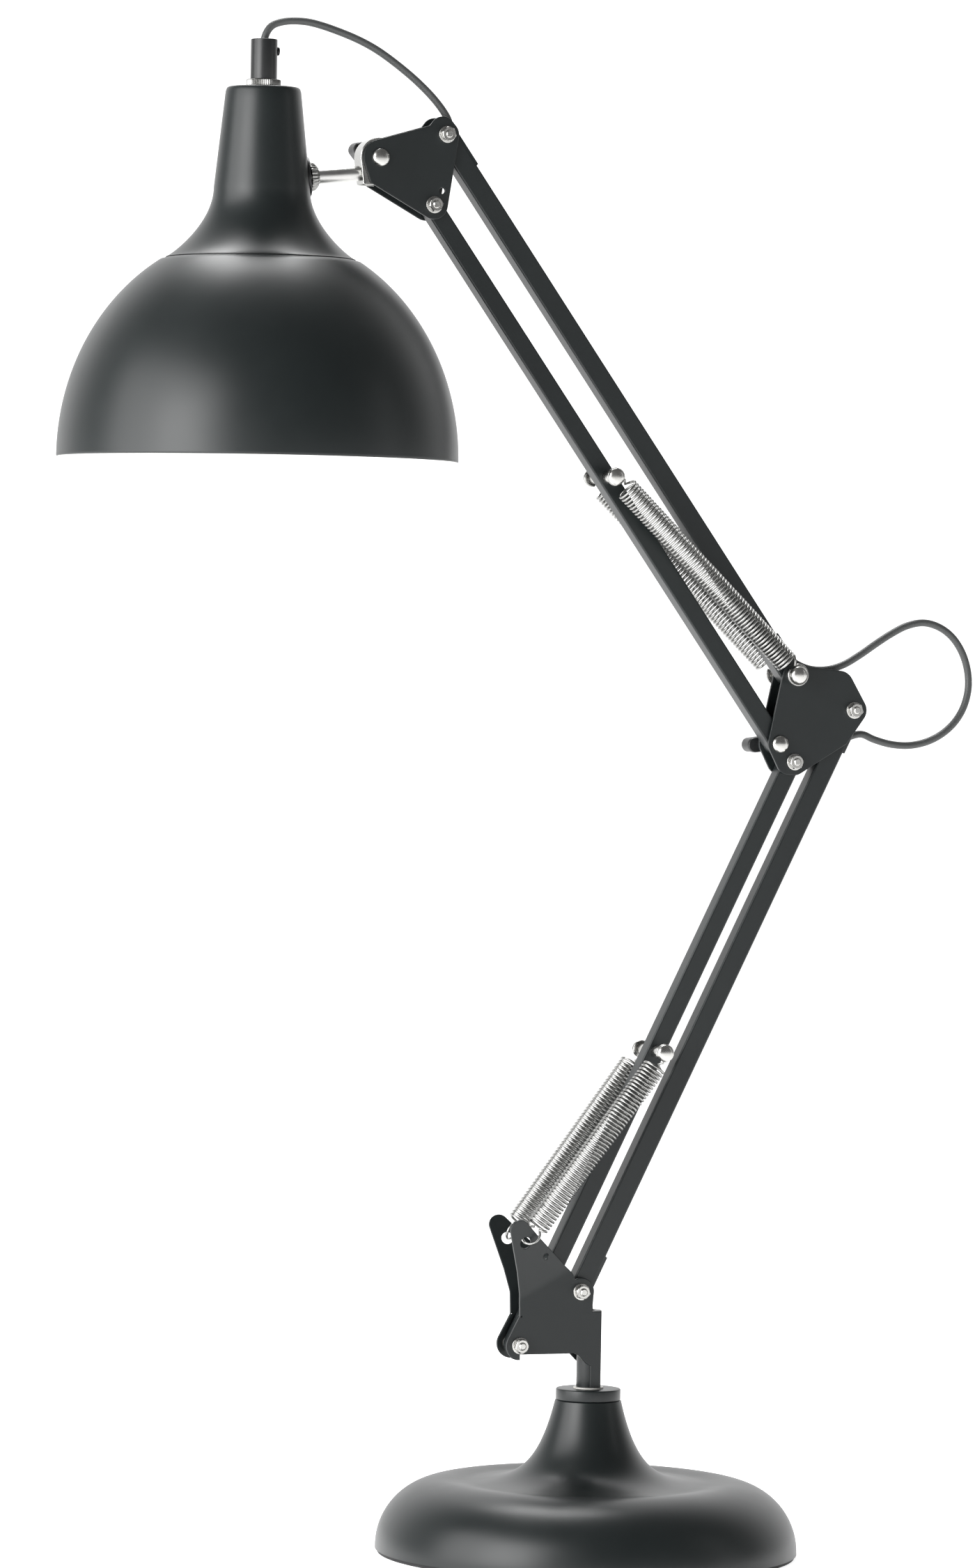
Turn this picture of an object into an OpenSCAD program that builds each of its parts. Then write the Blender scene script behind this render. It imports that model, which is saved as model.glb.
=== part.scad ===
// Swing arm desk lamp. Two parallelogram arms on a weighted round base.
// Frame: origin at the centre of the base's underside, +Z up, arms in the XZ plane,
// head towards -X, springs on both sides of the arms, knobs on the +Y side.

/* [Base] */
// Radius of the base at the table
base_r = 112; // [105:0.5:118]
// Height of the crest of the shoulder
base_crest = 39; // [36:0.5:42]
// Height where the cover ends under the collar
neck_top = 82; // [78:0.5:84]
// Radius of the cover under the collar
neck_r = 17.5; // [16.5:0.5:18]
// Thickness of the spun cover
cover_t = 1.5; // [1.2:0.1:1.8]
// Radius of the collar ring
collar_r = 17.2; // [16.5:0.1:17.4]
// Height of the collar ring
collar_h = 6; // [5:0.5:7]

/* [Arms] */
// Distance between the pivots of every bar
arm_len = 344.5; // [340:0.5:348]
// Angle of the lower arm above the horizontal
lower_deg = 64; // [63:0.5:66]
// Angle of the upper arm above the horizontal, leaning towards the head
upper_deg = 54.3; // [52:0.1:56]
// Width of the rear bars, which carry the flex
rear_w = 11; // [10.5:0.1:11.2]
// Width of the front bars
front_w = 10; // [9.5:0.1:10.4]
// Depth of all bars
bar_depth = 10; // [9.6:0.1:10.2]
// Wall of the bars
bar_wall = 0.9; // [0.8:0.1:1]
// Length of the open channel at the ends of the rear bars
channel_len = 23; // [21:0.5:25]
// Height of the channel's flanges above the bar
flange_h = 1.2; // [1:0.1:1.4]

/* [Brackets] */
// Thickness of the bracket plates
plate_t = 1.5; // [1.2:0.1:1.6]
// Half of the gap between the elbow and head plates
gap_half = 5.75; // [5.6:0.05:6]
// Half of the gap between the post plates
post_gap_half = 6.5; // [6.5:0.1:6.8]
// Outward tilt of the spring ears
ear_deg = 14.5; // [12:0.5:15]

/* [Hardware] */
// Diameter of the pivot bolts
bolt_d = 4; // [3.8:0.1:4]
// Radial clearance of a bolt in its hole
run = 0.05; // [0.03:0.01:0.08]
// Width of the hex nuts across flats
nut_af = 7; // [6.8:0.1:7.2]
// Diameter of the steel washers
washer_d = 9; // [8.6:0.1:9.2]
// Diameter of the round screw heads
round_head_d = 9.2; // [8.8:0.1:9.4]

/* [Springs] */
// Outer diameter of the springs
spring_d = 12.8; // [12:0.1:13]
// Wire of the hooks
wire_d = 1.3; // [1.2:0.1:1.4]
// Distance of the spring from the arm plane at its pin
pin_y = 17; // [16.5:0.1:17.5]
// Distance of the spring from the arm plane at the bracket
anchor_y = 15; // [14.8:0.1:15.4]

/* [Shade] */
// Radius of the rim
rim_r = 104.5; // [102:0.5:106]
// Height of the ellipse that the dome follows
dome_c = 118.5; // [116:0.5:120]
// Height of the seam between dome and neck, above the rim
seam_h = 104; // [103:0.5:105]
// Height of the neck's top above the rim
shade_h = 193; // [191:0.5:195]
// Sheet thickness of the shade
shade_t = 1; // [0.9:0.1:1.2]
// Slope of the stem
stem_deg = 6; // [4:0.5:8]
// Diameter of the stem
stem_d = 8; // [7.8:0.1:8.2]

/* [Flex] */
// Diameter of the flex
flex_d = 4; // [3.8:0.1:4]

/* [Hidden] */
$fn = 48;

// Pivots in the arm plane, as [x, z]
function polar(deg, len = 1) = len * [cos(deg), sin(deg)];
r1 = [-8, 140];                          // rear bar on the post
r2 = r1 + [-34, -28];                    // front bar on the post
s1 = r1 + polar(lower_deg, arm_len);     // rear bar on the elbow
s2 = r2 + polar(lower_deg, arm_len);     // front bar on the elbow
q1 = s1 + [-36, 18.5];                   // upper rear bar on the elbow
q2 = q1 + [-6.5, -37];                   // upper front bar on the elbow
p1 = q1 + polar(180 - upper_deg, arm_len);
p2 = q2 + polar(180 - upper_deg, arm_len);
tilt = p1 + [-36.5, -13.5];              // tilt screw of the yoke
lower_mid = (r2 + s2) / 2;               // spring pins, half way along the front bars
upper_mid = (q2 + p2) / 2;

plate_y = gap_half + plate_t / 2;        // middle of the elbow and head plates
post_plate_y = post_gap_half + plate_t / 2;
bar_gap = 0.1;                           // side play between a bar and its spacers
bolt_r = bolt_d / 2;
hole_r = bolt_r + run;
flex_off = 4.8;                          // the flex lies this far from the pivot in a channel

// ---------- shared shapes ----------

// Extrudes an [x, z] outline into a sheet t thick, centred on y
module sheet(y, t) translate([0, y + t / 2, 0]) rotate([90, 0, 0]) linear_extrude(t) children();

// Round bar along Y through the point p
module rod_y(p, y0, y1, d) translate([p[0], y1, p[1]]) rotate([90, 0, 0]) cylinder(d = d, h = y1 - y0);

// Moves a shape from the local frame of a bar, pivot a at the origin, pivot b along +X
module along(a, b)
    translate([a[0], 0, a[1]])
        rotate([0, -atan2(b[1] - a[1], b[0] - a[0]), 0]) children();

// Outline round a convex chain of [[x, z], radius], anticlockwise, with true arcs at its corners
module lobes(c) {
    polygon([for (n = c) n[0]]);
    for (n = c) translate(n[0]) circle(n[1]);
    for (i = [0 : len(c) - 1]) tangent_strip(c[i], c[(i + 1) % len(c)]);
}

// The strip between two circles and their outer tangent
module tangent_strip(m, n) {
    d = n[0] - m[0];
    l = norm(d);
    u = d / l;
    s = (m[1] - n[1]) / l;
    t = sqrt(1 - s * s) * [u[1], -u[0]] + s * u;
    polygon([m[0], m[0] + m[1] * t, n[0] + n[1] * t, n[0]]);
}

module holes(points, r = hole_r) for (p = points) translate(p) circle(r);

// Revolves a wall t thick inside an outer profile of [radius, z]
function unit(v) = v / norm(v);
function left_normal(p, i) =
    let (a = p[max(i - 1, 0)], b = p[min(i + 1, len(p) - 1)], u = unit(b - a)) [-u[1], u[0]];
function inset(p, t) = [for (i = [len(p) - 1 : -1 : 0]) p[i] + t * left_normal(p, i)];
module shell(p, t) rotate_extrude($fn = 96) polygon(concat(p, inset(p, t)));

// One nut, bolt, washer or spacer set. Near side is -Y; face is the outer face of the plate.
washer_t = 0.8;
nut_h = 3.2;
end_h = 0.8;
module hex_nut(p, face)
    translate([p[0], -face - washer_t, p[1]]) rotate([90, 0, 0])
        difference() {
            cylinder(d = nut_af / cos(30), h = nut_h, $fn = 6);
            translate([0, 0, -1]) cylinder(r = hole_r, h = nut_h + 2);
        }
module ring_y(p, y0, y1, d)
    difference() {
        rod_y(p, y0, y1, d);
        rod_y(p, y0 - 1, y1 + 1, 2 * hole_r);
    }
module pivot_bolt(p, face) {
    rod_y(p, -face - washer_t - nut_h - end_h, face, bolt_d);
    rod_y(p, face, face + 2.4, 7.6);
}
module washers(points, face) for (p = points) ring_y(p, -face - washer_t, -face, washer_d);
module spacers(points, inner)
    for (p = points, side = [-1, 1])
        ring_y(p, side > 0 ? bar_depth / 2 + bar_gap : -inner,
            side > 0 ? inner : -bar_depth / 2 - bar_gap, 8.6);

// Domed screw head standing out from y, side is -1 or 1
module dome_head(p, y, side, d, h)
    translate([p[0], y, p[1]]) rotate([side < 0 ? 90 : -90, 0, 0])
        intersection() {
            cylinder(d = d, h = h);
            translate([0, 0, h - d * 0.62]) sphere(d * 0.62);
        }

// Clamp screw: round head on the near side, shank through to the knob on the far side
module clamp_screw(p, face) {
    dome_head(p, -face, -1, round_head_d, 2.8);
    rod_y(p, -face, face + 12, bolt_d);
}

// Wing knob on the far side, turned by deg about its screw
module wing_knob(p, face, deg)
    translate([p[0], face + 0.3, p[1]]) rotate([0, -deg, 0]) rotate([-90, 0, 0])
        difference() {
            union() {
                cylinder(d = 11, h = 5);
                translate([0, 0, 4]) linear_extrude(11) {
                    square([13, 8.4], center = true);
                    for (x = [-6.5, 6.5]) translate([x, 0]) circle(d = 8.4);
                }
            }
            translate([0, 0, -1]) cylinder(r = hole_r, h = 13.5);
        }

// Tube swept along a route of [x, y, z] points
function tangent(p, i) = unit(p[min(i + 1, len(p) - 1)] - p[max(i - 1, 0)]);
function square_to(n, t) = unit(n - (n * t) * t);
function normals(p, i, n) =
    i >= len(p) ? [] :
    let (m = square_to(n, tangent(p, i))) concat([m], normals(p, i + 1, m));
module cord_tube(p, d, sides = 8) {
    n = normals(p, 0, [0, 1, 0]);
    rings = [for (i = [0 : len(p) - 1], k = [0 : sides - 1])
        let (t = tangent(p, i), a = 360 * k / sides)
        p[i] + d / 2 * (cos(a) * n[i] + sin(a) * cross(t, n[i]))];
    last = (len(p) - 1) * sides;
    walls = [for (i = [0 : len(p) - 2], k = [0 : sides - 1])
        [i * sides + k, i * sides + (k + 1) % sides,
            (i + 1) * sides + (k + 1) % sides, (i + 1) * sides + k]];
    caps = [[for (k = [sides - 1 : -1 : 0]) k], [for (k = [0 : sides - 1]) last + k]];
    polyhedron(rings, concat(walls, caps), convexity = 8);
}
function flat_route(p) = [for (q = p) [q[0], 0, q[1]]];
// A point beside a bar: s along it from pivot a towards b, off to its right
function beside(a, b, s, off) = let (u = unit(b - a)) a + s * u + off * [u[1], -u[0]];

// ---------- base ----------

// Cover profile: exponential neck flare, shallow dish, elliptical shoulder
dish_z = base_crest - 1.5;
flare_len = 10.4;
crest_r = 76;
function flare_z(r) = dish_z + (neck_top - dish_z) * exp(-(r - neck_r) / flare_len);
cover_profile = concat(
    [[base_r, 2]],
    [for (a = [0 : 7.5 : 90]) [crest_r + (base_r - crest_r) * cos(a), 3 + (base_crest - 3) * sin(a)]],
    [[70, base_crest - 0.4], [64, base_crest - 1.1]],
    [for (r = [58, 50, 43, 37, 32, 28, 25, 22.5, 20.5, 19, 18, neck_r]) [r, flare_z(r)]]
);
grommet_z = 13;
module base_cover() color([0.17, 0.18, 0.18])
    difference() {
        shell(cover_profile, cover_t);
        translate([0, 90, grommet_z]) rotate([-90, 0, 0]) cylinder(d = 8, h = 30);
    }

module base_weight() color([0.30, 0.30, 0.31])
    difference() {
        union() {
            translate([0, 0, 2]) cylinder(r = 103, h = 2, $fn = 96);
            translate([0, 0, 4]) cylinder(r = 94, h = 18, $fn = 96);
        }
        translate([0, 0, 1]) cylinder(r = 9, h = 30);
        translate([0, 0, 1]) cylinder(r = 17, h = 8);
        translate([-4, 82, 1]) cube([8, 30, 30]);
    }

module base_pad() color([0.10, 0.10, 0.10]) cylinder(r = base_r - 1, h = 2, $fn = 96);

module socket_tube() color([0.60, 0.61, 0.62])
    difference() {
        translate([0, 0, 4]) cylinder(r = 9, h = neck_top - 4);
        cylinder(r = 7, h = neck_top + 1);
        translate([0, 0, 31]) rotate([-90, 0, 0]) cylinder(r = 4.5, h = 12);
    }

module socket_nut() color([0.60, 0.61, 0.62])
    difference() {
        translate([0, 0, 4]) cylinder(d = 27, h = 5, $fn = 6);
        translate([0, 0, 3]) cylinder(r = 9, h = 7);
    }

module collar_ring() color([0.17, 0.18, 0.18])
    difference() {
        translate([0, 0, neck_top]) cylinder(r = collar_r, h = collar_h);
        translate([0, 0, neck_top - 1]) cylinder(r = 7, h = collar_h + 2);
    }

stub_z = neck_top + collar_h + 0.8;      // the stub stands on the bush's flange
pin_r = 6;
module swivel_bush() color([0.88, 0.88, 0.86])
    difference() {
        union() {
            translate([0, 0, 50]) cylinder(r = 7, h = neck_top + collar_h - 50);
            translate([0, 0, neck_top + collar_h]) cylinder(r = 8, h = 0.7);
        }
        translate([0, 0, 49]) cylinder(r = pin_r + run, h = 50);
    }

// Rubber outlet in the back of the cover
module cable_grommet() color([0.10, 0.10, 0.10])
    translate([0, 0, grommet_z]) rotate([-90, 0, 0])
        difference() {
            union() {
                translate([0, 0, 104]) cylinder(d = 7.9, h = 6);
                translate([0, 0, 104]) cylinder(d = 11, h = 2.4);
            }
            translate([0, 0, 100]) cylinder(d = flex_d + 0.1, h = 20);
        }

// ---------- post ----------

stub_top = 129.5;
module post_stub() color([0.17, 0.18, 0.18])
    difference() {
        union() {
            translate([0, 0, stub_z]) cylinder(r = 6.5, h = stub_top - stub_z);
            translate([0, 0, 52]) cylinder(r = pin_r, h = stub_z - 52);
        }
        translate([0, 0, 40]) cylinder(r = 3, h = 100);
    }

// The ears bend outwards on a sloping line from bend_a towards bend_deg. The outline is flat,
// as before bending.
bend_a = [-50, 134];
bend_deg = 28.8;
hook_hole = [-42.7, 167.9];
tag_hole = [-29.7, 159.9];
ear_tip = [-46.9, 175.2];
r2_lobe = 7.6;
module post_outline()
    difference() {
        union() {
            polygon([[-8, 110], r2, r2 + [-6.7, 3.6], [-42.3, 127.6], [-42.7, 139.4], [-45.4, 151.5],
                [-52.1, 173.7], ear_tip, [-43.2, 179.1], [-34.5, 170.4], [-13, 150], r1]);
            polygon([[-42, 107.3], [-11, 107.3], [-6.6, 104], [-2, 100.5], [-2, stub_z], [3.9, stub_z],
                [3.9, stub_top], [-1.5, stub_top], [-1.5, 140], r1, r2]);
            translate(ear_tip) circle(5.4);
            translate(r1) circle(7.4);
            translate(r2) circle(r2_lobe);
        }
        translate([-41.8, 100]) square([20, 7.3]);
        holes([r1, r2]);
        translate(tag_hole) circle(1.65);
        translate(hook_hole) circle(3.2);
    }
// Narrow lip turned in along the edge by the front pivot, clear of the bar's sides
module post_lip(side)
    sheet(side * (post_gap_half - 0.55), 1.3)
        difference() {
            union() {
                translate(r2) circle(r2_lobe);
                polygon([r2, r2 + [-6.7, 3.6], [-42.3, 127.6], [-40, 127.6]]);
            }
            translate(r2) circle(r2_lobe - 1.3);
            polygon([r2, r2 + [-5.5, 2.9], [-41, 127], [-41, 129], [-30, 129], [-30, 100], [-41.9, 100]]);
        }
module half_plane(side)
    translate(bend_a) rotate(bend_deg) translate([-60, side > 0 ? 0 : -120]) square([160, 120]);
// side is -1 near, 1 far
module post_plate(side) {
    sheet(side * post_plate_y, plate_t) intersection() { post_outline(); half_plane(-1); }
    post_lip(side);
    translate([bend_a[0], side * post_gap_half, bend_a[1]])
        rotate([0, -bend_deg, 0]) rotate([-side * ear_deg, 0, 0]) rotate([0, bend_deg, 0])
            translate([-bend_a[0], -side * post_gap_half, -bend_a[1]])
                sheet(side * post_plate_y, plate_t) intersection() { post_outline(); half_plane(1); }
}
module post_plate_near() color([0.17, 0.18, 0.18]) post_plate(-1);
module post_plate_far() color([0.17, 0.18, 0.18]) post_plate(1);

post_face = post_gap_half + plate_t;
module post_bolts() color([0.78, 0.79, 0.80]) for (p = [r1, r2]) pivot_bolt(p, post_face);
module post_nuts() color([0.78, 0.79, 0.80]) for (p = [r1, r2]) hex_nut(p, post_face);
module post_washers() color([0.78, 0.79, 0.80]) washers([r1, r2], post_face);
module post_spacers() color([0.88, 0.88, 0.86]) spacers([r1, r2], post_gap_half);

// ---------- bars ----------

// Square tube with round ends. A rear bar is an open channel on its outer side for the last
// stretch at both ends, with raised flanges, and the flex lies in it.
module bar(w, cross_hole = false, channels = false)
    difference() {
        union() {
            translate([0, -bar_depth / 2, -w / 2]) cube([arm_len, bar_depth, w]);
            for (x = [0, arm_len])
                translate([x, bar_depth / 2, 0]) rotate([90, 0, 0]) cylinder(d = w, h = bar_depth);
            if (channels)
                for (x = [0, arm_len - channel_len])
                    translate([x, -bar_depth / 2, -w / 2 - flange_h]) cube([channel_len, bar_depth, flange_h + 3]);
        }
        translate([-w, -bar_depth / 2 + bar_wall, -w / 2 + bar_wall])
            cube([arm_len + 2 * w, bar_depth - 2 * bar_wall, w - 2 * bar_wall]);
        for (x = cross_hole ? [0, arm_len / 2, arm_len] : [0, arm_len])
            translate([x, bar_depth, 0]) rotate([90, 0, 0]) cylinder(r = hole_r, h = 2 * bar_depth);
        if (channels)
            for (x = [-w, arm_len - channel_len])
                translate([x, -bar_depth / 2 + bar_wall, -w])
                    cube([channel_len + w, bar_depth - 2 * bar_wall, w]);
    }
module lower_rear_bar() color([0.17, 0.18, 0.18]) along(r1, s1) bar(rear_w, channels = true);
module upper_rear_bar() color([0.17, 0.18, 0.18]) along(q1, p1) bar(rear_w, channels = true);
module lower_front_bar() color([0.17, 0.18, 0.18]) along(r2, s2) bar(front_w, cross_hole = true);
module upper_front_bar() color([0.17, 0.18, 0.18]) along(q2, p2) bar(front_w, cross_hole = true);

// Cross pin half way along a front bar, with a shoulder and a domed head on each side
module spring_pin(p) {
    rod_y(p, -pin_y - 1.5, pin_y + 1.5, bolt_d);
    for (side = [-1, 1]) {
        rod_y(p, side > 0 ? bar_depth / 2 + run : -pin_y + 1, side > 0 ? pin_y - 1 : -bar_depth / 2 - run, 6.4);
        dome_head(p, side * (pin_y + 1), side, round_head_d, 2.8);
    }
}
module lower_spring_pin() color([0.78, 0.79, 0.80]) spring_pin(lower_mid);
module upper_spring_pin() color([0.78, 0.79, 0.80]) spring_pin(upper_mid);

// ---------- springs ----------

// Closed envelope of one tension spring from the pin a to the ring's centre b, both [x, y, z]:
// the close-wound body and a hook round each end. The hook at b has the radius r, begins gap
// from the body, and is turned by twist about the spring.
hook_r = 4.2;
anchor_hook_r = 5.6;
ear_hook_r = 5;
body_start = 9;
module hook_ring(r)
    rotate([90, 0, 0]) rotate_extrude($fn = 32) translate([r, 0]) circle(d = wire_d, $fn = 16);
module spring(a, b, r, gap, twist = 0) {
    v = b - a;
    l = norm(v);
    translate(a) rotate([0, acos(v[2] / l), atan2(v[1], v[0])]) {
        hook_ring(hook_r);
        translate([0, 0, hook_r]) cylinder(d = wire_d, h = body_start - hook_r, $fn = 16);
        translate([0, 0, body_start]) cylinder(d = spring_d, h = l - body_start - gap);
        translate([0, 0, l - gap]) cylinder(d = wire_d, h = gap - r, $fn = 16);
        translate([0, 0, l]) rotate(twist) hook_ring(r);
    }
}
function off_plane(p, y) = [p[0], y, p[1]];
// The hook hole on the bent ear; the ring passes through it and over the ear's edge
hook_at = [-42.2, 167];
hook_y = 13.8;
function ear_ring(side) =
    let (h = off_plane(hook_at, side * hook_y)) h + ear_hook_r * unit(off_plane(lower_mid, side * pin_y) - h);
module lower_spring(side) color([0.72, 0.73, 0.73])
    spring(off_plane(lower_mid, side * pin_y), ear_ring(side), ear_hook_r, 6, -45 * side);
module upper_spring(side) color([0.72, 0.73, 0.73])
    spring(off_plane(upper_mid, side * pin_y), off_plane(q1, side * anchor_y), anchor_hook_r, body_start);
module lower_spring_near() lower_spring(-1);
module lower_spring_far() lower_spring(1);
module upper_spring_near() upper_spring(-1);
module upper_spring_far() upper_spring(1);

// ---------- elbow ----------

face = gap_half + plate_t;
module elbow_outline()
    difference() {
        union() {
            lobes([[s2, 7.2], [s1 + [-5, -17], 1.5], [s1, 7.4], [[134.5, 462.5], 8.2], [q1, 5.4], [q2, 6.8],
                [[105.5, 421.5], 6.8]]);
        }
        holes([s1, s2, q1, q2]);
    }
module elbow_plate_near() color([0.17, 0.18, 0.18]) sheet(-plate_y, plate_t) elbow_outline();
module elbow_plate_far() color([0.17, 0.18, 0.18]) sheet(plate_y, plate_t) elbow_outline();
module elbow_bolts() color([0.78, 0.79, 0.80]) for (p = [s1, s2]) pivot_bolt(p, face);
module elbow_nuts() color([0.78, 0.79, 0.80]) for (p = [s1, s2]) hex_nut(p, face);
module elbow_washers() color([0.78, 0.79, 0.80]) washers([s1, s2], face);
module elbow_spacers() color([0.88, 0.88, 0.86]) spacers([s1, s2, q1, q2], gap_half);

// Shoulder screw through the elbow with a domed head each side, which holds the springs
module spring_anchor() color([0.78, 0.79, 0.80]) {
    rod_y(q1, -anchor_y - 1.5, anchor_y + 1.5, bolt_d);
    for (side = [-1, 1]) {
        rod_y(q1, side > 0 ? face : -anchor_y + 1, side > 0 ? anchor_y - 1 : -face, 6.4);
        dome_head(q1, side * (anchor_y + 1), side, round_head_d, 3);
    }
}
module elbow_clamp_screw() color([0.78, 0.79, 0.80]) clamp_screw(q2, face);
module elbow_knob() color([0.09, 0.09, 0.10]) wing_knob(q2, face, 8);

// ---------- head bracket ----------

module head_outline()
    difference() {
        union() {
            lobes([[p2, 7.7], [p1, 6.8], [tilt, 9.3], [tilt + [-3.7, -12.3], 1.6]]);
            translate(p1 + [-2.2, 2.4]) circle(6.9);
        }
        holes([p1, p2, tilt]);
        translate(p2 + [4.3, 7.4]) circle(1.6);
    }
module head_plate_near() color([0.17, 0.18, 0.18]) sheet(-plate_y, plate_t) head_outline();
module head_plate_far() color([0.17, 0.18, 0.18]) sheet(plate_y, plate_t) head_outline();
module head_bolts() color([0.78, 0.79, 0.80]) for (p = [p1, p2]) pivot_bolt(p, face);
module head_nuts() color([0.78, 0.79, 0.80]) for (p = [p1, p2]) hex_nut(p, face);
module head_washers() color([0.78, 0.79, 0.80]) washers([p1, p2], face);
module head_spacers() color([0.88, 0.88, 0.86]) spacers([p1, p2], gap_half);
module head_clamp_screw() color([0.78, 0.79, 0.80]) clamp_screw(tilt, face);
module head_knob() color([0.09, 0.09, 0.10]) wing_knob(tilt, face, 130);

// ---------- yoke and stem ----------

yoke_half = gap_half - 0.15;
yoke_t = 1.2;
stem_dir = [-cos(stem_deg), -sin(stem_deg)];     // from the yoke towards the shade
stem_start = tilt + [-9.2, -8.4];
stem_len = 37;
shade_x = -193;                                  // the shade's own axis
shade_z = 575.5;                                 // and the height of its rim

// Places a shape with its +Z along the stem, s from the stem's start
module on_stem(s)
    translate([stem_start[0] + s * stem_dir[0], 0, stem_start[1] + s * stem_dir[1]])
        rotate([0, -90 - stem_deg, 0]) children();

// Folded strap: two cheeks on the tilt screw, joined by a web round their left side
module yoke_outline(r, grow)
    union() {
        translate(tilt) circle(r);
        polygon([tilt + [-r, 1], tilt + [-8.6 + grow, -14.6 + grow], tilt + [1, -14.6 + grow], tilt + [8, 0]]);
    }
module yoke() color([0.80, 0.81, 0.82])
    difference() {
        sheet(0, 2 * yoke_half) yoke_outline(10.4, 0);
        sheet(0, 2 * (yoke_half - yoke_t)) {
            yoke_outline(10.4 - yoke_t, yoke_t);
            translate(tilt + [3, -30]) square([30, 60]);
            translate(tilt + [-7.4, -30]) square([30, 30]);
        }
        rod_y(tilt, -20, 20, 2 * hole_r);
        on_stem(-2) cylinder(d = stem_d, h = 10);
    }
module stem() color([0.80, 0.81, 0.82]) on_stem(-2) cylinder(d = stem_d, h = stem_len + 2);
module stem_nut() color([0.78, 0.79, 0.80])
    on_stem(stem_len - 4.5)
        difference() {
            cylinder(d = 14, h = 4, $fn = 6);
            translate([0, 0, -1]) cylinder(d = stem_d, h = 6);
        }

// ---------- shade ----------

module on_shade(z = 0) translate([shade_x, 0, shade_z + z]) children();

dome_profile = concat(
    [[rim_r, 0], [rim_r, 1.5]],
    [for (a = [4 : 4 : 60]) [rim_r * cos(a), 0.4 + dome_c * sin(a)]],
    [[rim_r * sqrt(1 - pow(seam_h / dome_c, 2)), seam_h]]
);
module shade_dome() color([0.17, 0.18, 0.18]) on_shade() shell(dome_profile, shade_t);

// The neck flares into the dome below waist_h and tapers to top_r above it
waist_h = 141;
waist_r = 25;
top_r = 19.4;
flare_r = 23.5;
flare_power = 1.95;
function shade_neck_r(z) =
    z < waist_h ? waist_r + flare_r * pow((waist_h - z) / (waist_h - seam_h), flare_power)
    : waist_r + (top_r - waist_r) * (z - waist_h) / (shade_h - waist_h);
neck_profile = concat(
    [for (z = [seam_h + 0.3 : 3.67 : waist_h]) [shade_neck_r(z), z]],
    [for (z = [150, 165, 180, shade_h - 2]) [shade_neck_r(z), z]],
    [[top_r - 0.5, shade_h - 0.7], [top_r - 2, shade_h], [4.9, shade_h]]
);
stem_hole_d = stem_d + 2 * run;
module shade_neck() color([0.17, 0.18, 0.18])
    difference() {
        on_shade() shell(neck_profile, shade_t);
        on_stem(10) cylinder(d = stem_hole_d, h = 30);
    }

// Black saddle that fits the neck, and the domed steel washer on it
saddle_s = 25.8;
module saddle_washer() color([0.09, 0.09, 0.10])
    difference() {
        on_stem(saddle_s) cylinder(d = 21, h = 6.5);
        on_stem(saddle_s - 1) cylinder(d = stem_hole_d, h = 10);
        on_shade() rotate_extrude($fn = 96)
            polygon(concat([[0, 165], [0, 130]], [for (z = [130, 134, 138, waist_h, 165]) [shade_neck_r(z), z]]));
    }
module cup_washer() color([0.80, 0.81, 0.82])
    on_stem(saddle_s)
        difference() {
            translate([0, 0, -3.4]) cylinder(d1 = 11, d2 = 19.4, h = 3.4);
            translate([0, 0, -5]) cylinder(d = stem_hole_d, h = 8);
        }

holder_top = 128;
holder_h = 46;
module carrier_tube() color([0.70, 0.62, 0.40])
    on_shade(holder_top)
        difference() {
            cylinder(r = 4.85, h = shade_h + 6 - holder_top);
            translate([0, 0, -1]) cylinder(r = 3.6, h = 80);
        }
module lampholder() color([0.90, 0.90, 0.88])
    on_shade(holder_top - holder_h)
        difference() {
            union() {
                cylinder(r = 19.5, h = holder_h - 12);
                translate([0, 0, holder_h - 12]) cylinder(r1 = 19.5, r2 = 9, h = 12);
            }
            translate([0, 0, -1]) cylinder(r = 13.4, h = 27);
            translate([0, 0, 30]) cylinder(r = 3.6, h = 30);
        }

ring_z = shade_h;
module knurled_ring() color([0.78, 0.79, 0.80])
    on_shade(ring_z)
        difference() {
            cylinder(r = 9, h = 4, $fn = 60);
            translate([0, 0, -1]) cylinder(r = 4.9, h = 6);
        }
grip_z = shade_h + 4;
grip_h = 21;
grip_r = 6.9;
module cord_grip() color([0.09, 0.09, 0.10])
    on_shade(grip_z)
        difference() {
            cylinder(r = grip_r, h = grip_h);
            translate([0, 0, -1]) cylinder(r = 4.9, h = 4);
            translate([0, 0, 2]) cylinder(d = flex_d + 0.1, h = 30);
            translate([0, 0, grip_h - 6]) rotate([0, 90, 0]) cylinder(r = 1.5, h = 10);
        }
module grip_screw() color([0.10, 0.10, 0.10])
    on_shade(grip_z + grip_h - 6) rotate([0, 90, 0]) {
        translate([0, 0, 3]) cylinder(r = 1.5, h = 4);
        translate([0, 0, grip_r]) cylinder(r = 2.3, h = 1.2);
    }

// ---------- flex ----------

inner_s = 30;                            // where the stretches inside the bars begin
// Head stretch: straight out of the grip, over in an arc, down the channel of the upper bar
head_route = [
    [-193, 705], [-193, 775], [-193, 788], [-192.6, 795], [-189, 800.6], [-182, 803.2], [-173.5, 803.8],
    [-165, 802.8], [-153, 799.6], [-141, 795.4], [-130.5, 790.4], [-119.5, 783.4],
    [-108.5, 775.2], [-98.5, 766], [-91.5, 757]
];
// Elbow stretch: out of the channel, round in an open loop, back into the lower bar
elbow_route = [
    [112.5, 473.8], [120.5, 471.2], [130, 471.2], [139.5, 474], [149, 479.4], [158, 485.4],
    [167, 491], [176, 495.4], [185.5, 497.2], [194.5, 495.2], [202.5, 490], [208.5, 482],
    [212, 472.5], [212.8, 462.5], [210.4, 452.5], [205.2, 444], [197.6, 437.4],
    [188.4, 433], [178, 431], [167.5, 431.6], [158, 434], [150, 436.8]
];
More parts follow.
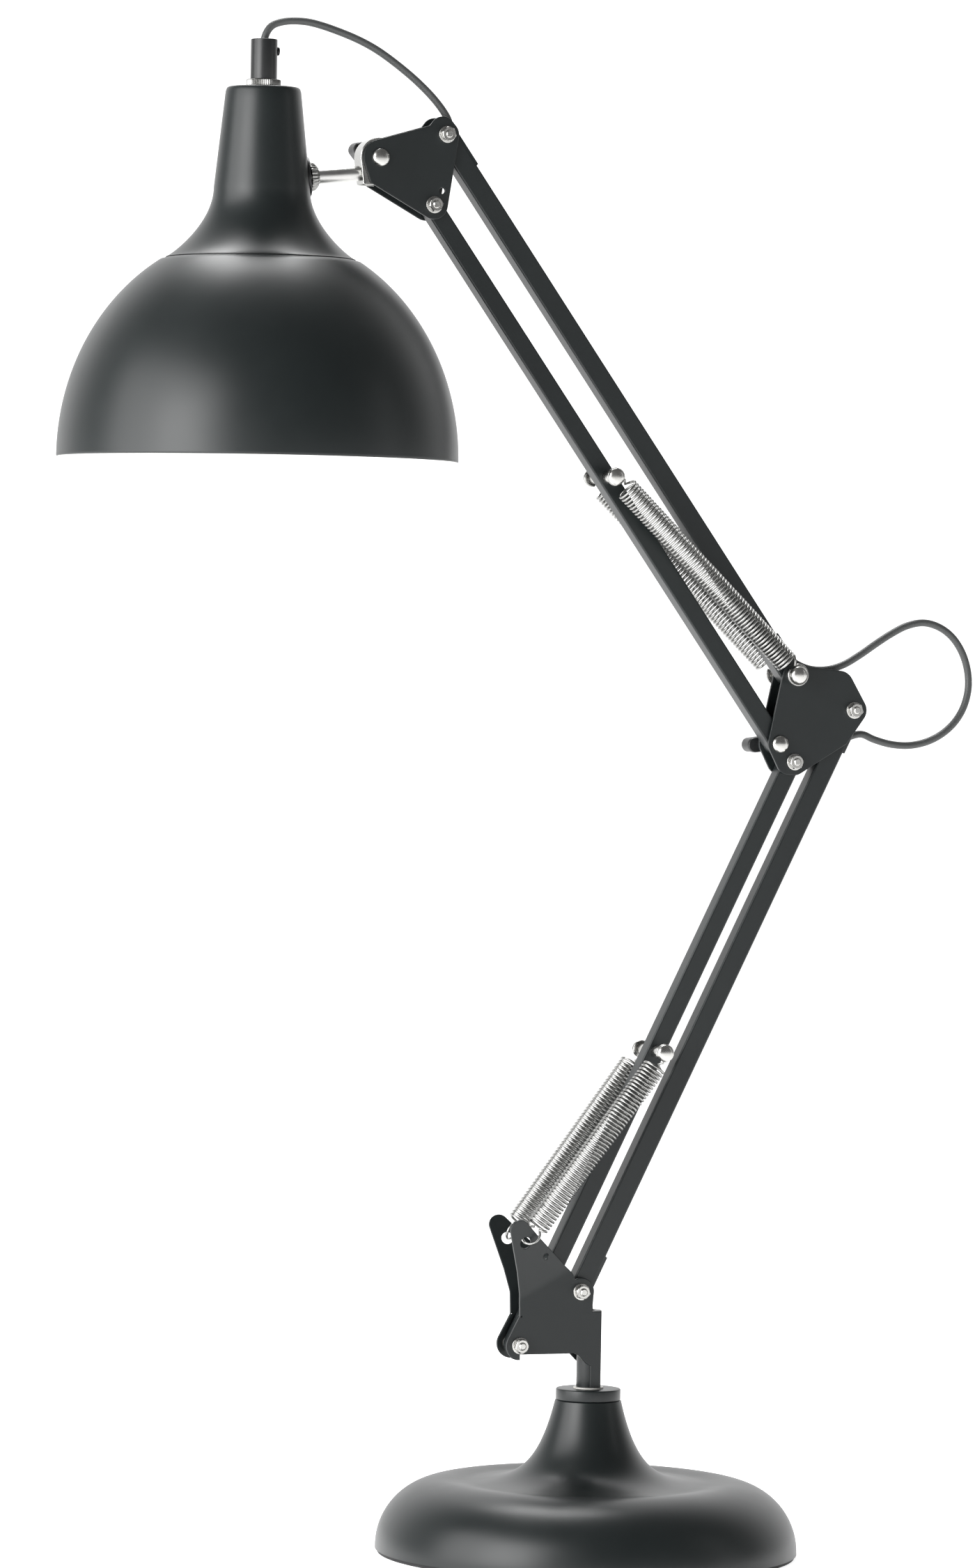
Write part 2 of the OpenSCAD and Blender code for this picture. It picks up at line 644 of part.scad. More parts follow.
// Base stretch: down the post, out at the back of the base
base_route = [
    [0, 0, 122], [0, 0, 60], [0, 0, 47], [0, 0.8, 40], [0, 3.4, 34.6], [0, 8, 31.6], [0, 15, 30.4],
    [0, 40, 30], [0, 78, 29], [0, 88, 25], [0, 95, 19.5], [0, 100, 15.5],
    [0, 104, 13.2], [0, 107, 13], [0, 110, 13]
];
// Distance of the flex from the middle of a rear bar, s from the pivot
function depth(s) = s > channel_len ? 0.6 : s > 17 ? 3 : flex_off;
module flex_head() color([0.27, 0.28, 0.28])
    cord_tube(flat_route(concat(head_route, [for (s = [2, 9, 16, 21, 26, inner_s])
        beside(q1, p1, arm_len - s, depth(s))])), flex_d);
module flex_upper() color([0.27, 0.28, 0.28])
    cord_tube(flat_route([for (s = [inner_s, arm_len - inner_s]) beside(q1, p1, s, 0.6)]), flex_d);
module flex_elbow() color([0.27, 0.28, 0.28])
    cord_tube(flat_route(concat(
        [for (s = [inner_s, 26, 21, 15, 9]) beside(q1, p1, s, depth(s))],
        elbow_route,
        [for (s = [15, 21, 26, inner_s]) beside(r1, s1, arm_len - s, depth(s))])), flex_d);
module flex_lower() color([0.27, 0.28, 0.28])
    cord_tube(flat_route([for (s = [inner_s, arm_len - inner_s]) beside(r1, s1, s, 0.6)]), flex_d);
module flex_entry() color([0.27, 0.28, 0.28])
    cord_tube(flat_route(concat([for (s = [inner_s, 26, 21, 15, 8, 1]) beside(r1, s1, s, depth(s))],
        [[-0.6, 133], [0, 128], [0, 122]])), flex_d);
module flex_base() color([0.27, 0.28, 0.28]) cord_tube(base_route, flex_d);

base_cover();
base_weight();
base_pad();
socket_tube();
socket_nut();
collar_ring();
swivel_bush();
cable_grommet();
post_stub();
post_plate_near();
post_plate_far();
post_bolts();
post_nuts();
post_washers();
post_spacers();
flex_base();
flex_entry();
lower_rear_bar();
flex_lower();
lower_front_bar();
lower_spring_pin();
lower_spring_near();
lower_spring_far();
elbow_plate_near();
elbow_plate_far();
elbow_bolts();
elbow_nuts();
elbow_washers();
elbow_spacers();
spring_anchor();
elbow_clamp_screw();
flex_elbow();
elbow_knob();
upper_rear_bar();
flex_upper();
upper_front_bar();
upper_spring_pin();
upper_spring_near();
upper_spring_far();
head_plate_near();
head_plate_far();
head_bolts();
head_nuts();
head_washers();
head_spacers();
head_clamp_screw();
head_knob();
yoke();
stem();
stem_nut();
flex_head();
shade_neck();
shade_dome();
saddle_washer();
cup_washer();
carrier_tube();
lampholder();
knurled_ring();
cord_grip();
grip_screw();
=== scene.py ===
"""Looks of the swing arm desk lamp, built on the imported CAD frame. Lengths are in mm until a piece is made."""
from math import acos, atan2, cos, exp, hypot, pi, radians, sin, sqrt, tan

import bpy
import bmesh
from mathutils import Matrix, Vector
from mathutils.geometry import tessellate_polygon


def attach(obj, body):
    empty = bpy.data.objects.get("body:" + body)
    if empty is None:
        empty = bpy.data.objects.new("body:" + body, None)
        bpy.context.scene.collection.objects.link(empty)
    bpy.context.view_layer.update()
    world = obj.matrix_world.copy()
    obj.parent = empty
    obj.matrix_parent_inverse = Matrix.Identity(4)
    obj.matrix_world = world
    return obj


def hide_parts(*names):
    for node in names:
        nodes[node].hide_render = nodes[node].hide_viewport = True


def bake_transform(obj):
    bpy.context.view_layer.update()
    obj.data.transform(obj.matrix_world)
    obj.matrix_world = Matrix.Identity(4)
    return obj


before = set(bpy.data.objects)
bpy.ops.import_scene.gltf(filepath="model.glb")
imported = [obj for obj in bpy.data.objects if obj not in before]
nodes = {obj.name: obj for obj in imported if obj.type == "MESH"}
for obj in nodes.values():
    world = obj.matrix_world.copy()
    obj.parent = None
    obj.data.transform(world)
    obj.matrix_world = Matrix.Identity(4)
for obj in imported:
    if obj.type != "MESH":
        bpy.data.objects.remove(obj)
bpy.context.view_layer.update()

MM = 0.001
scene = bpy.context.scene

# ---------------------------------------------------------------- the lamp's own numbers
ARM = 344.5
LOWER, UPPER = radians(64), radians(180 - 54.3)


def pivot(start, angle=0.0, length=0.0):
    return Vector((start[0] + length * cos(angle), start[1] + length * sin(angle)))


R1, R2 = Vector((-8, 140)), Vector((-42, 112))
S1, S2 = pivot(R1, LOWER, ARM), pivot(R2, LOWER, ARM)
Q1 = S1 + Vector((-36, 18.5))
Q2 = Q1 + Vector((-6.5, -37))
P1, P2 = pivot(Q1, UPPER, ARM), pivot(Q2, UPPER, ARM)
TILT = P1 + Vector((-36.5, -13.5))
LOWER_MID, UPPER_MID = (R2 + S2) / 2, (Q2 + P2) / 2
HOOK_HOLE = Vector((-42.7, 167.9))
HOOK_AT, EAR_HOOK_R = Vector((-42.2, 13.8, 167)), 5.0
STEM_ANGLE = radians(6)
STEM_START = TILT + Vector((-9.2, -8.4))
SHADE_X, SHADE_Z = -193.0, 575.5
RIM_R, DOME_HEIGHT, SEAM = 104.5, 118.5, 104.0
SHEET_T = 1.0
# plates: their middles and near faces beside the arm plane, thickness and rounded edge
PLATE_Y, POST_PLATE_Y, PLATE_T, PLATE_EDGE = 6.5, 7.25, 1.5, 0.35
FACE, POST_FACE = 7.25, 8.0
# bars: the open channels at the ends of the rear ones, and how far their flanges stand out
CHANNEL, FLANGE = 23.0, 1.2
# pivots: M4 shank, the hole for it, the nut's seat on its washer, and the shank beyond the plate
BOLT_R, HOLE_R, WASHER_T, BOLT_END = 1.98, 2.05, 0.82, 3.9
# flex: its radius here, and its diameter in metres
FLEX_R, FLEX_D = 1.95, 0.0039
# springs: wire and coil radius, pitch, and where they sit beside the arm plane
WIRE_R, COIL_R, COIL_PITCH = 0.68, 5.7, 2.05
ANCHOR_Y, HOOK_Y, PIN_Y = 16, 15, 17


def beside(a, b, along, off):
    u = (b - a).normalized()
    return a + along * u + off * Vector((u.y, -u.x))


# ---------------------------------------------------------------- camera
def set_camera():
    data = bpy.data.cameras.new("camera")
    data.sensor_fit = "VERTICAL"
    data.sensor_height = 36.0
    data.sensor_width = 36.0
    data.lens = 155.26
    data.clip_start, data.clip_end = 0.1, 30
    cam = bpy.data.objects.new("camera", data)
    scene.collection.objects.link(cam)
    azimuth, pitch, roll = radians(20), radians(-1.17), radians(0.98)
    ahead = Vector((sin(azimuth) * cos(pitch), cos(azimuth) * cos(pitch), sin(pitch)))
    level = Vector((cos(azimuth), -sin(azimuth), 0))
    up = level.cross(ahead)
    right = level * cos(roll) + up * sin(roll)
    up = up * cos(roll) - level * sin(roll)
    turn = Matrix((right, up, -ahead)).transposed().to_4x4()
    cam.matrix_world = Matrix.Translation((-1.2805, -3.3458, 0.4808)) @ turn
    scene.camera = cam


set_camera()


# ---------------------------------------------------------------- materials
def material(
    name,
    colour,
    metallic=0.0,
    rough=0.4,
    rough_by=0.06,
    tone_by=0.06,
    tone_scale=30.0,
    grain=900.0,
    relief=0.1,
    depth=0.00005,
    coat=0.0,
    coat_rough=0.1,
    specular=0.5,
    scratches=0.0,
):
    """A finish whose tone, gloss and fine relief all vary over the surface."""
    m = bpy.data.materials.new(name)
    m.use_nodes = True
    tree = m.node_tree
    shader = tree.nodes["Principled BSDF"]
    link = tree.links.new

    def node(kind, **values):
        n = tree.nodes.new(kind)
        for key, value in values.items():
            if key in n.inputs:
                n.inputs[key].default_value = value
            else:
                setattr(n, key, value)
        return n

    place = node("ShaderNodeTexCoord")
    broad = node("ShaderNodeTexNoise", Scale=tone_scale, Detail=4.0, Roughness=0.55)
    fine = node("ShaderNodeTexNoise", Scale=grain, Detail=3.0, Roughness=0.6)
    link(place.outputs["Object"], broad.inputs["Vector"])
    link(place.outputs["Object"], fine.inputs["Vector"])
    tones = node("ShaderNodeValToRGB")
    ramp = tones.color_ramp
    ramp.elements[0].position, ramp.elements[1].position = 0.3, 0.7
    ramp.elements[0].color = [c * (1 - tone_by) for c in colour] + [1]
    ramp.elements[1].color = [min(1, c * (1 + tone_by)) for c in colour] + [1]
    link(broad.outputs["Fac"], tones.inputs["Fac"])
    link(tones.outputs["Color"], shader.inputs["Base Color"])
    gloss = node("ShaderNodeMapRange")
    gloss.inputs["From Min"].default_value, gloss.inputs["From Max"].default_value = 0.3, 0.7
    gloss.inputs["To Min"].default_value = max(0.02, rough - rough_by)
    gloss.inputs["To Max"].default_value = rough + rough_by
    link(broad.outputs["Fac"], gloss.inputs["Value"])
    link(gloss.outputs["Result"], shader.inputs["Roughness"])
    height = fine.outputs["Fac"]
    if scratches:
        lines = node("ShaderNodeTexNoise", Scale=120.0, Detail=6.0, Roughness=0.7)
        squeezed = node("ShaderNodeMapping")
        squeezed.inputs["Scale"].default_value = (1, 1, 40)
        link(place.outputs["Object"], squeezed.inputs["Vector"])
        link(squeezed.outputs["Vector"], lines.inputs["Vector"])
        both = node("ShaderNodeMix", data_type="FLOAT")
        both.inputs[0].default_value = scratches
        link(fine.outputs["Fac"], both.inputs[2])
        link(lines.outputs["Fac"], both.inputs[3])
        height = both.outputs[0]
    bump = node("ShaderNodeBump", Strength=relief, Distance=depth)
    link(height, bump.inputs["Height"])
    link(bump.outputs["Normal"], shader.inputs["Normal"])
    shader.inputs["Metallic"].default_value = metallic
    shader.inputs["Specular IOR Level"].default_value = specular
    shader.inputs["Coat Weight"].default_value = coat
    shader.inputs["Coat Roughness"].default_value = coat_rough
    return m


PAINT = material("satin_black_paint", (0.0086, 0.0115, 0.0119), rough=0.37, rough_by=0.02, tone_by=0.06,
                 grain=1400, relief=0.05, depth=0.00005, specular=0.5)
ENAMEL = material("white_enamel", (0.88, 0.88, 0.87), rough=0.28, tone_by=0.015, grain=1100, relief=0.1)
NICKEL = material("nickel_plate", (0.60, 0.595, 0.575), metallic=1, rough=0.27, rough_by=0.05, tone_by=0.05,
                  tone_scale=160, grain=2200, relief=0.06, scratches=0.4)
CHROME = material("bright_chrome_plate", (0.50, 0.50, 0.485), metallic=1, rough=0.24, rough_by=0.04,
                  tone_by=0.03, tone_scale=120, grain=1800, relief=0.03)
WIRE = material("spring_wire_plate", (0.36, 0.36, 0.35), metallic=1, rough=0.28, rough_by=0.06, tone_by=0.08,
                tone_scale=200, grain=2500, relief=0.08)
STEM = material("satin_stem_plate", (0.64, 0.64, 0.62), metallic=1, rough=0.38, rough_by=0.05, tone_by=0.04,
                tone_scale=120, grain=1800, relief=0.04)
# knurled ring and cup washer: the nickel made darker, with the shade of the knurl grooves painted into its colour
NICKEL_PAINTED_KNURL_SHADE = material("nickel_painted_knurl_shade", (0.33, 0.33, 0.32), metallic=1, rough=0.34, rough_by=0.08, tone_by=0.2,
                   tone_scale=700, grain=2200, relief=0.1)
ZINC = material("zinc_plate", (0.55, 0.56, 0.57), metallic=1, rough=0.38, rough_by=0.08, tone_by=0.1,
                tone_scale=90, grain=1500, relief=0.12)
BRASS = material("turned_brass", (0.72, 0.53, 0.24), metallic=1, rough=0.27, rough_by=0.06, tone_by=0.07,
                 tone_scale=110, grain=1500, relief=0.08, scratches=0.3)
IRON = material("cast_iron_grain", (0.09, 0.09, 0.092), metallic=0.7, rough=0.62, rough_by=0.12, tone_by=0.25,
                tone_scale=70, grain=420, relief=0.5, depth=0.0003)
PLASTIC = material("black_moulded_plastic", (0.013, 0.014, 0.0145), rough=0.36, rough_by=0.03, tone_by=0.08,
                   grain=1700, relief=0.05)
NYLON = material("natural_nylon", (0.72, 0.71, 0.67), rough=0.42, tone_by=0.04, grain=1300, relief=0.12)
PORCELAIN = material("holder_white", (0.74, 0.73, 0.70), rough=0.24, tone_by=0.02, grain=700, relief=0.06,
                     coat=0.3)
RUBBER = material("base_rubber", (0.016, 0.016, 0.017), rough=0.72, rough_by=0.08, tone_by=0.2, grain=900,
                  relief=0.5, depth=0.0002)
SHEATH = material("flex_sheath_grey", (0.060, 0.063, 0.063), rough=0.46, rough_by=0.06, tone_by=0.09,
                  tone_scale=60, grain=1600, relief=0.12)
OXIDE = material("black_oxide", (0.02, 0.02, 0.022), metallic=0.6, rough=0.36, tone_by=0.15, grain=1800,
                 relief=0.1)


# ---------------------------------------------------------------- mesh building
class Shape:
    """Vertices in mm, faces and the material number of each face."""

    def __init__(self):
        self.verts, self.faces, self.mats = [], [], []

    def add(self, verts, faces, place=None, mat=0):
        at = len(self.verts)
        place = place or Matrix.Identity(4)
        self.verts += [place @ Vector(v) for v in verts]
        self.faces += [tuple(i + at for i in f) for f in faces]
        self.mats += [mat] * len(faces)
        return self

    def piece(self, name, finish, body=None, slot=None, replaces=(), sharp=38, weighted=False):
        mesh = bpy.data.meshes.new(name)
        mesh.from_pydata([v * MM for v in self.verts], [], self.faces)
        finishes = finish if isinstance(finish, (list, tuple)) else [finish]
        for f in finishes:
            mesh.materials.append(f)
        mesh.polygons.foreach_set("material_index", self.mats)
        bm = bmesh.new()
        bm.from_mesh(mesh)
        bmesh.ops.remove_doubles(bm, verts=bm.verts, dist=1e-7)
        bmesh.ops.recalc_face_normals(bm, faces=bm.faces)
        bm.to_mesh(mesh)
        bm.free()
        mesh.polygons.foreach_set("use_smooth", [True] * len(mesh.polygons))
        mesh.set_sharp_from_angle(angle=radians(sharp))
        obj = bpy.data.objects.new(name, mesh)
        scene.collection.objects.link(obj)
        if weighted:
            obj.modifiers.new("face_weighted_normals", "WEIGHTED_NORMAL").keep_sharp = True
        if replaces:
            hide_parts(*([replaces] if isinstance(replaces, str) else replaces))
        if body:
            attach(obj, body)
        return obj


def outward(p, y, side):
    """Placement with local Z pointing away from the arm plane, at height y."""
    return Matrix.Translation((p[0], y, p[1])) @ Matrix.Rotation(radians(90 if side < 0 else -90), 4, "X")


def upright(x=0.0, z=0.0, y=0.0):
    return Matrix.Translation((x, y, z))


def on_stem(along):
    start = STEM_START + along * Vector((-cos(STEM_ANGLE), -sin(STEM_ANGLE)))
    return Matrix.Translation((start.x, 0, start.y)) @ Matrix.Rotation(-pi / 2 - STEM_ANGLE, 4, "Y")


def rounded(points, radius, steps=4, closed=True):
    """The outline with rounded corners; radius is one number, or one for each corner."""
    out, n = [], len(points)
    for i, point in enumerate(points):
        r = radius[i] if isinstance(radius, (list, tuple)) else radius
        b = Vector(point)
        if r <= 0 or (not closed and i in (0, n - 1)):
            out.append(b)
            continue
        a, c = Vector(points[i - 1]), Vector(points[(i + 1) % n])
        u, w = (a - b), (c - b)
        room = 0.49 * min(u.length, w.length)
        u.normalize(), w.normalize()
        half = acos(max(-1, min(1, u.dot(w)))) / 2
        if half > radians(88):
            out.append(b)
            continue
        back = min(r / tan(half), room)
        r = back * tan(half)
        centre = b + (u + w).normalized() * (r / sin(half))
        s, e = b + u * back - centre, b + w * back - centre
        a0, a1 = atan2(s.y, s.x), atan2(e.y, e.x)
        d = (a1 - a0 + pi) % (2 * pi) - pi
        out += [centre + r * Vector((cos(a0 + d * k / steps), sin(a0 + d * k / steps))) for k in range(steps + 1)]
    return out


def revolve(profile, segments=64, closed=False, radius_at=None):
    """Turns [radius, z] points about Z; radius_at(r, z, angle) may change the radius."""
    verts, faces, rings = [], [], []
    for r, z in profile:
        if r < 1e-6:
            rings.append([len(verts)])
            verts.append((0, 0, z))
            continue
        rings.append(list(range(len(verts), len(verts) + segments)))
        for k in range(segments):
            a = 2 * pi * k / segments
            q = radius_at(r, z, a) if radius_at else r
            verts.append((q * cos(a), q * sin(a), z))
    pairs = list(zip(rings, rings[1:])) + ([(rings[-1], rings[0])] if closed else [])
    for low, high in pairs:
        for k in range(segments):
            j = (k + 1) % segments
            if len(low) == 1 and len(high) == 1:
                continue
            if len(low) == 1:
                faces.append((low[0], high[j], high[k]))
            elif len(high) == 1:
                faces.append((low[k], low[j], high[0]))
            else:
                faces.append((low[k], low[j], high[j], high[k]))
    return verts, faces


def offset(loop, distance):
    out, n = [], len(loop)
    for i in range(n):
        e0, e1 = (loop[i] - loop[i - 1]).normalized(), (loop[(i + 1) % n] - loop[i]).normalized()
        m = Vector((-e0.y - e1.y, e0.x + e1.x))
        out.append(loop[i] + m * (distance / max(0.35, 1 + e0.dot(e1))))
    return out


def clean(loop):
    out = []
    for p in loop:
        if not out or (Vector(p) - out[-1]).length > 0.02:
            out.append(Vector(p))
    if (out[0] - out[-1]).length < 0.02:
        out.pop()
    return out


def circle(centre, r, count=28):
    return [Vector((centre[0] + r * cos(2 * pi * k / count), centre[1] + r * sin(2 * pi * k / count)))
            for k in range(count)]


def lobes(chain, step=9):
    """Anticlockwise outline round [centre, radius] pairs, with arcs at the corners; radius 0 is a plain corner."""
    def tangent(m, n):
        d = Vector(n[0]) - Vector(m[0])
        u, s = d.normalized(), (m[1] - n[1]) / d.length
        return sqrt(max(0, 1 - s * s)) * Vector((u.y, -u.x)) + s * u

    out, n = [], len(chain)
    for i in range(n):
        c, r = Vector(chain[i][0]), chain[i][1]
        if r == 0:
            out.append(c)
            continue
        t0, t1 = tangent(chain[i - 1], chain[i]), tangent(chain[i], chain[(i + 1) % n])
        a0 = atan2(t0.y, t0.x)
        d = (atan2(t1.y, t1.x) - a0) % (2 * pi)
        count = max(2, int(d / radians(step)) + 1)
        out += [c + r * Vector((cos(a0 + d * k / count), sin(a0 + d * k / count))) for k in range(count + 1)]
    return clean(out)


def sheet(outline, holes=(), thick=1.5, bevel=0.3, steps=3):
    """A flat plate with rounded edges, from [x, z] loops, centred on y = 0."""
    loops = [clean(outline)] + [list(reversed(clean(h))) for h in holes]
    levels = [(bevel * (1 - sin(a)), -thick / 2 + bevel * (1 - cos(a))) for a in
              (k * pi / 2 / steps for k in range(steps + 1))]
    levels += [(d, -h) for d, h in reversed(levels)]
    verts, faces, last = [], [], len(levels) - 1
    caps = {0: [], last: []}
    for loop in loops:
        n, base = len(loop), len(verts)
        for k, (d, h) in enumerate(levels):
            ring = offset(loop, d)
            verts += [(p.x, h, p.y) for p in ring]
            if k in caps:
                caps[k].append([(base + k * n + i, ring[i]) for i in range(n)])
            if k:
                faces += [(base + (k - 1) * n + i, base + (k - 1) * n + (i + 1) % n,
                           base + k * n + (i + 1) % n, base + k * n + i) for i in range(n)]
    for rings in caps.values():
        index = [i for ring in rings for i, _ in ring]
        faces += [tuple(index[i] for i in t) for t in
                  tessellate_polygon([[Vector((p.x, p.y, 0)) for _, p in ring] for ring in rings])]
    return verts, faces


def frames_along(points):
    """A tangent and two normals for each point, carried along without twist."""
    out, normal = [], None
    for i, p in enumerate(points):
        t = (points[min(i + 1, len(points) - 1)] - points[max(i - 1, 0)]).normalized()
        if normal is None:
            normal = Vector((0, 1, 0)) if abs(t.y) < 0.9 else Vector((1, 0, 0))
        normal = (normal - t * normal.dot(t)).normalized()
        out.append((t, normal, t.cross(normal)))
    return out


def tube(points, r, sides=12, caps=True, frames=None):
    frames = frames or frames_along(points)
    verts, faces = [], []
    for p, (_, n, b) in zip(points, frames):
        verts += [p + r * (cos(2 * pi * k / sides) * n + sin(2 * pi * k / sides) * b) for k in range(sides)]
    for i in range(len(points) - 1):
        for k in range(sides):
            j = (k + 1) % sides
            faces.append((i * sides + k, i * sides + j, (i + 1) * sides + j, (i + 1) * sides + k))
    if caps:
        last = (len(points) - 1) * sides
        faces += [tuple(range(sides)), tuple(range(last, last + sides))]
    return verts, faces


def smooth_route(points, step=1.6):
    """Catmull-Rom curve through the points, at even steps."""
    pts = [Vector(p) for p in points]
    ext = [2 * pts[0] - pts[1]] + pts + [2 * pts[-1] - pts[-2]]
    out = [pts[0]]
    for i in range(1, len(ext) - 2):
        p0, p1, p2, p3 = ext[i - 1:i + 3]
        count = max(1, round((p2 - p1).length / step))
        for k in range(1, count + 1):
            t = k / count
            out.append(0.5 * (2 * p1 + (p2 - p0) * t + (2 * p0 - 5 * p1 + 4 * p2 - p3) * t * t
                              + (3 * p1 - p0 - 3 * p2 + p3) * t ** 3))
    return out


def finish_node(name, finish):
    """Gives a CAD node that is kept as it is the finish of the real part."""
    obj = nodes[name]
    obj.data.materials.clear()
    obj.data.materials.append(finish)
    obj.data.polygons.foreach_set("material_index", [0] * len(obj.data.polygons))


# ---------------------------------------------------------------- flex
def flat(points):
    return [Vector((p[0], 0, p[1])) for p in points]


def depth(along):
    """How far the flex lies below a rear bar's axis, at this distance from the bar's end."""
    return 0.6 if along > CHANNEL else 3.0 if along > 17 else 4.8


HEAD_ROUTE = [
    (-193, 705), (-193, 740), (-193, 775), (-193, 788), (-192.6, 795), (-189, 800.6), (-182, 803.2),
    (-173.5, 803.8), (-165, 802.8), (-153, 799.6), (-141, 795.4), (-130.5, 790.4), (-119.5, 783.4),
    (-108.5, 775.2), (-98.5, 766), (-91.5, 757),
]
ELBOW_ROUTE = [
    (112.5, 473.8), (120.5, 471.2), (130, 471.2), (139.5, 474), (149, 479.4), (158, 485.4),
    (167, 491), (176, 495.4), (185.5, 497.2), (194.5, 495.2), (202.5, 490), (208.5, 482),
    (212, 472.5), (212.8, 462.5), (210.4, 452.5), (205.2, 444), (197.6, 437.4),
    (188.4, 433), (178, 431), (167.5, 431.6), (158, 434), (150, 436.8),
]


def cord_piece(name, line, body_a, body_b, start, end, replaces=None, free=True):
    """One stretch of flex along line, in mm, made as a tube; body a, body b, start and end are not used."""
    shape = Shape().add(*tube(line, FLEX_R, 14))
    obj = shape.piece(name, SHEATH, slot="flex_sheath", replaces=replaces or ())
    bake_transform(obj)
    return obj


def nearest(line, x, z):
    return min(range(len(line)), key=lambda i: hypot(line[i].x - x, line[i].z - z))


def make_flex():
    head = smooth_route(flat(HEAD_ROUTE + [beside(Q1, P1, ARM - s, depth(s)) for s in (2, 9, 16, 21, 26, 30)]))
    cuts = [0, nearest(head, -153, 799.6), nearest(head, -108.5, 775.2), len(head) - 1]
    bodies = ["shade", "tilt_yoke", "head", "upper_rear"]
    starts = [(-193, 792), (-153, 799.6), (-108.5, 775.2)]
    ends = [(-153, 799.6), (-108.5, 775.2), (-86, 748)]
    for k, part in enumerate(("grip", "tilt", "arm")):
        cord_piece(f"head_flex_{part}", head[cuts[k]:cuts[k + 1] + 1], bodies[k], bodies[k + 1],
                   *flat([starts[k], ends[k]]), replaces="flex_head" if k == 0 else None)
    elbow = smooth_route(flat([beside(Q1, P1, s, depth(s)) for s in (30, 26, 21, 15, 9)] + ELBOW_ROUTE
                              + [beside(R1, S1, ARM - s, depth(s)) for s in (15, 21, 26, 30)]))
    middle = nearest(elbow, 212, 466)
    cord_piece("elbow_flex_upper", elbow[:middle + 1], "upper_rear", "elbow",
               *flat([(108, 475), (186, 497)]), replaces="flex_elbow")
    cord_piece("elbow_flex_lower", elbow[middle:], "elbow", "lower_rear", *flat([(208, 452), (148, 437)]))
    entry = smooth_route(flat([beside(R1, S1, s, depth(s)) for s in (30, 26, 21, 15, 8, 1)]
                              + [(-0.6, 133), (0, 128), (0, 122)]))
    cord_piece("post_flex", entry, "lower_rear", "post", *flat([(0, 147), (-1, 130)]), replaces="flex_entry",
               free=False)
    for name in ("flex_lower", "flex_upper", "flex_base"):
        finish_node(name, SHEATH)


make_flex()


# ---------------------------------------------------------------- hardware shapes
def bolt_thread(shape, place, length, r=2.0, pitch=0.7):
    """The free end of a bolt, with a helical thread and a chamfered tip."""
    rows = max(4, int(length / pitch * 6))
    profile = [(r, length * k / rows) for k in range(rows + 1)]
    profile += [(r - 0.55, length + 0.25), (0, length + 0.25)]

    def groove(q, z, a):
        if z > length:
            return q
        phase = (z / pitch - a / (2 * pi)) % 1
        cut = 0.24 * (1 - abs(2 * phase - 1))
        return q - cut if z < length - 0.3 else min(q - cut, r - 0.3)

    shape.add(*revolve(profile, 24, radius_at=groove), place)


def hex_nut(shape, place, flats=7.0, height=3.2, bore=1.75):
    """Hexagon with turned chamfers on both faces and a countersunk bore."""
    corner = flats / 2 / cos(pi / 6)
    segments, half = 72, flats / 2

    def hexagon(q, z, a):
        edge = half / cos((a + pi / 6) % (pi / 3) - pi / 6)
        return min(edge - 0.03 * (edge > half * 1.13), q) if q > half - 1 else q

    lean = [0.0, 0.25, 0.55]
    up = [(corner - 0.75 + 0.76 * k / 0.55, k) for k in lean]
    profile = [(bore + 0.5, 0), (half - 0.1, 0)] + up + [(corner, 0.8), (corner, height - 0.8)]
    profile += [(q, height - z) for q, z in reversed(up)] + [(half - 0.1, height), (bore + 0.5, height),
                                                            (bore, height - 0.5), (bore, 0.5)]
    shape.add(*revolve(profile, segments, closed=True, radius_at=hexagon), place)


def washer(shape, place, outer=4.5, inner=2.05, thick=0.8):
    profile = rounded([(inner, 0), (outer, 0), (outer, thick), (inner, thick)], [0.1, 0.25, 0.25, 0.1], 3)
    shape.add(*revolve(profile, 48, closed=True), place)


def dome(shape, place, r=4.6, height=2.8):
    """Domed head with a short straight skirt and a soft edge."""
    top = [(r * cos(a), 0.7 + (height - 0.7) * sin(a)) for a in (k * pi / 2 / 9 for k in range(9))]
    profile = [(0, 0), (r - 0.35, 0), (r - 0.08, 0.12), (r, 0.4)] + top + [(0, height)]
    shape.add(*revolve(profile, 48), place)


def pan_head(shape, place, r=3.8, height=2.4):
    """Far end of a pivot bolt: hexagon socket in a cylinder head."""
    profile = rounded([(0, 0), (r, 0), (r, height), (2.0, height), (1.9, height - 1.4), (0, height - 1.4)],
                      [0, 0.15, 0.4, 0.12, 0.1, 0], 3, closed=False)

    def socket(q, z, a):
        return q * 0.93 / cos((a + pi / 6) % (pi / 3) - pi / 6) if q < 2.05 and z > 0.5 else q

    shape.add(*revolve(profile, 48, radius_at=socket), place)


def rod(shape, place, r, length, edge=0.15, segments=32):
    profile = rounded([(0, 0), (r, 0), (r, length), (0, length)], [0, edge, edge, 0], 2, closed=False)
    shape.add(*revolve(profile, segments), place)


def pivot_hardware(group, body, points, face):
    bolts, nuts, washers = Shape(), Shape(), Shape()
    for i, p in enumerate(points):
        washer(washers, outward(p, -face, -1))
        spin = Matrix.Rotation(radians(17 + 23 * i), 4, "Z")
        hex_nut(nuts, outward(p, -face - WASHER_T, -1) @ spin)
        rod(bolts, outward(p, face, -1), BOLT_R, 2 * face + BOLT_END)
        bolt_thread(bolts, outward(p, -face - BOLT_END, -1) @ spin, 0.7)
        pan_head(bolts, outward(p, face, 1))
    bolts.piece(group + "_bolts_m4", NICKEL, body, "nickel", group + "_bolts")
    nuts.piece(group + "_nuts_m4", NICKEL, body, "nickel", group + "_nuts", sharp=30)
    washers.piece(group + "_washers_m4", NICKEL, body, "nickel", group + "_washers")
    finish_node(group + "_spacers", NYLON)


pivot_hardware("post", "post", [R1, R2], POST_FACE)
pivot_hardware("elbow", "elbow", [S1, S2], FACE)
pivot_hardware("head", "head", [P1, P2], FACE)


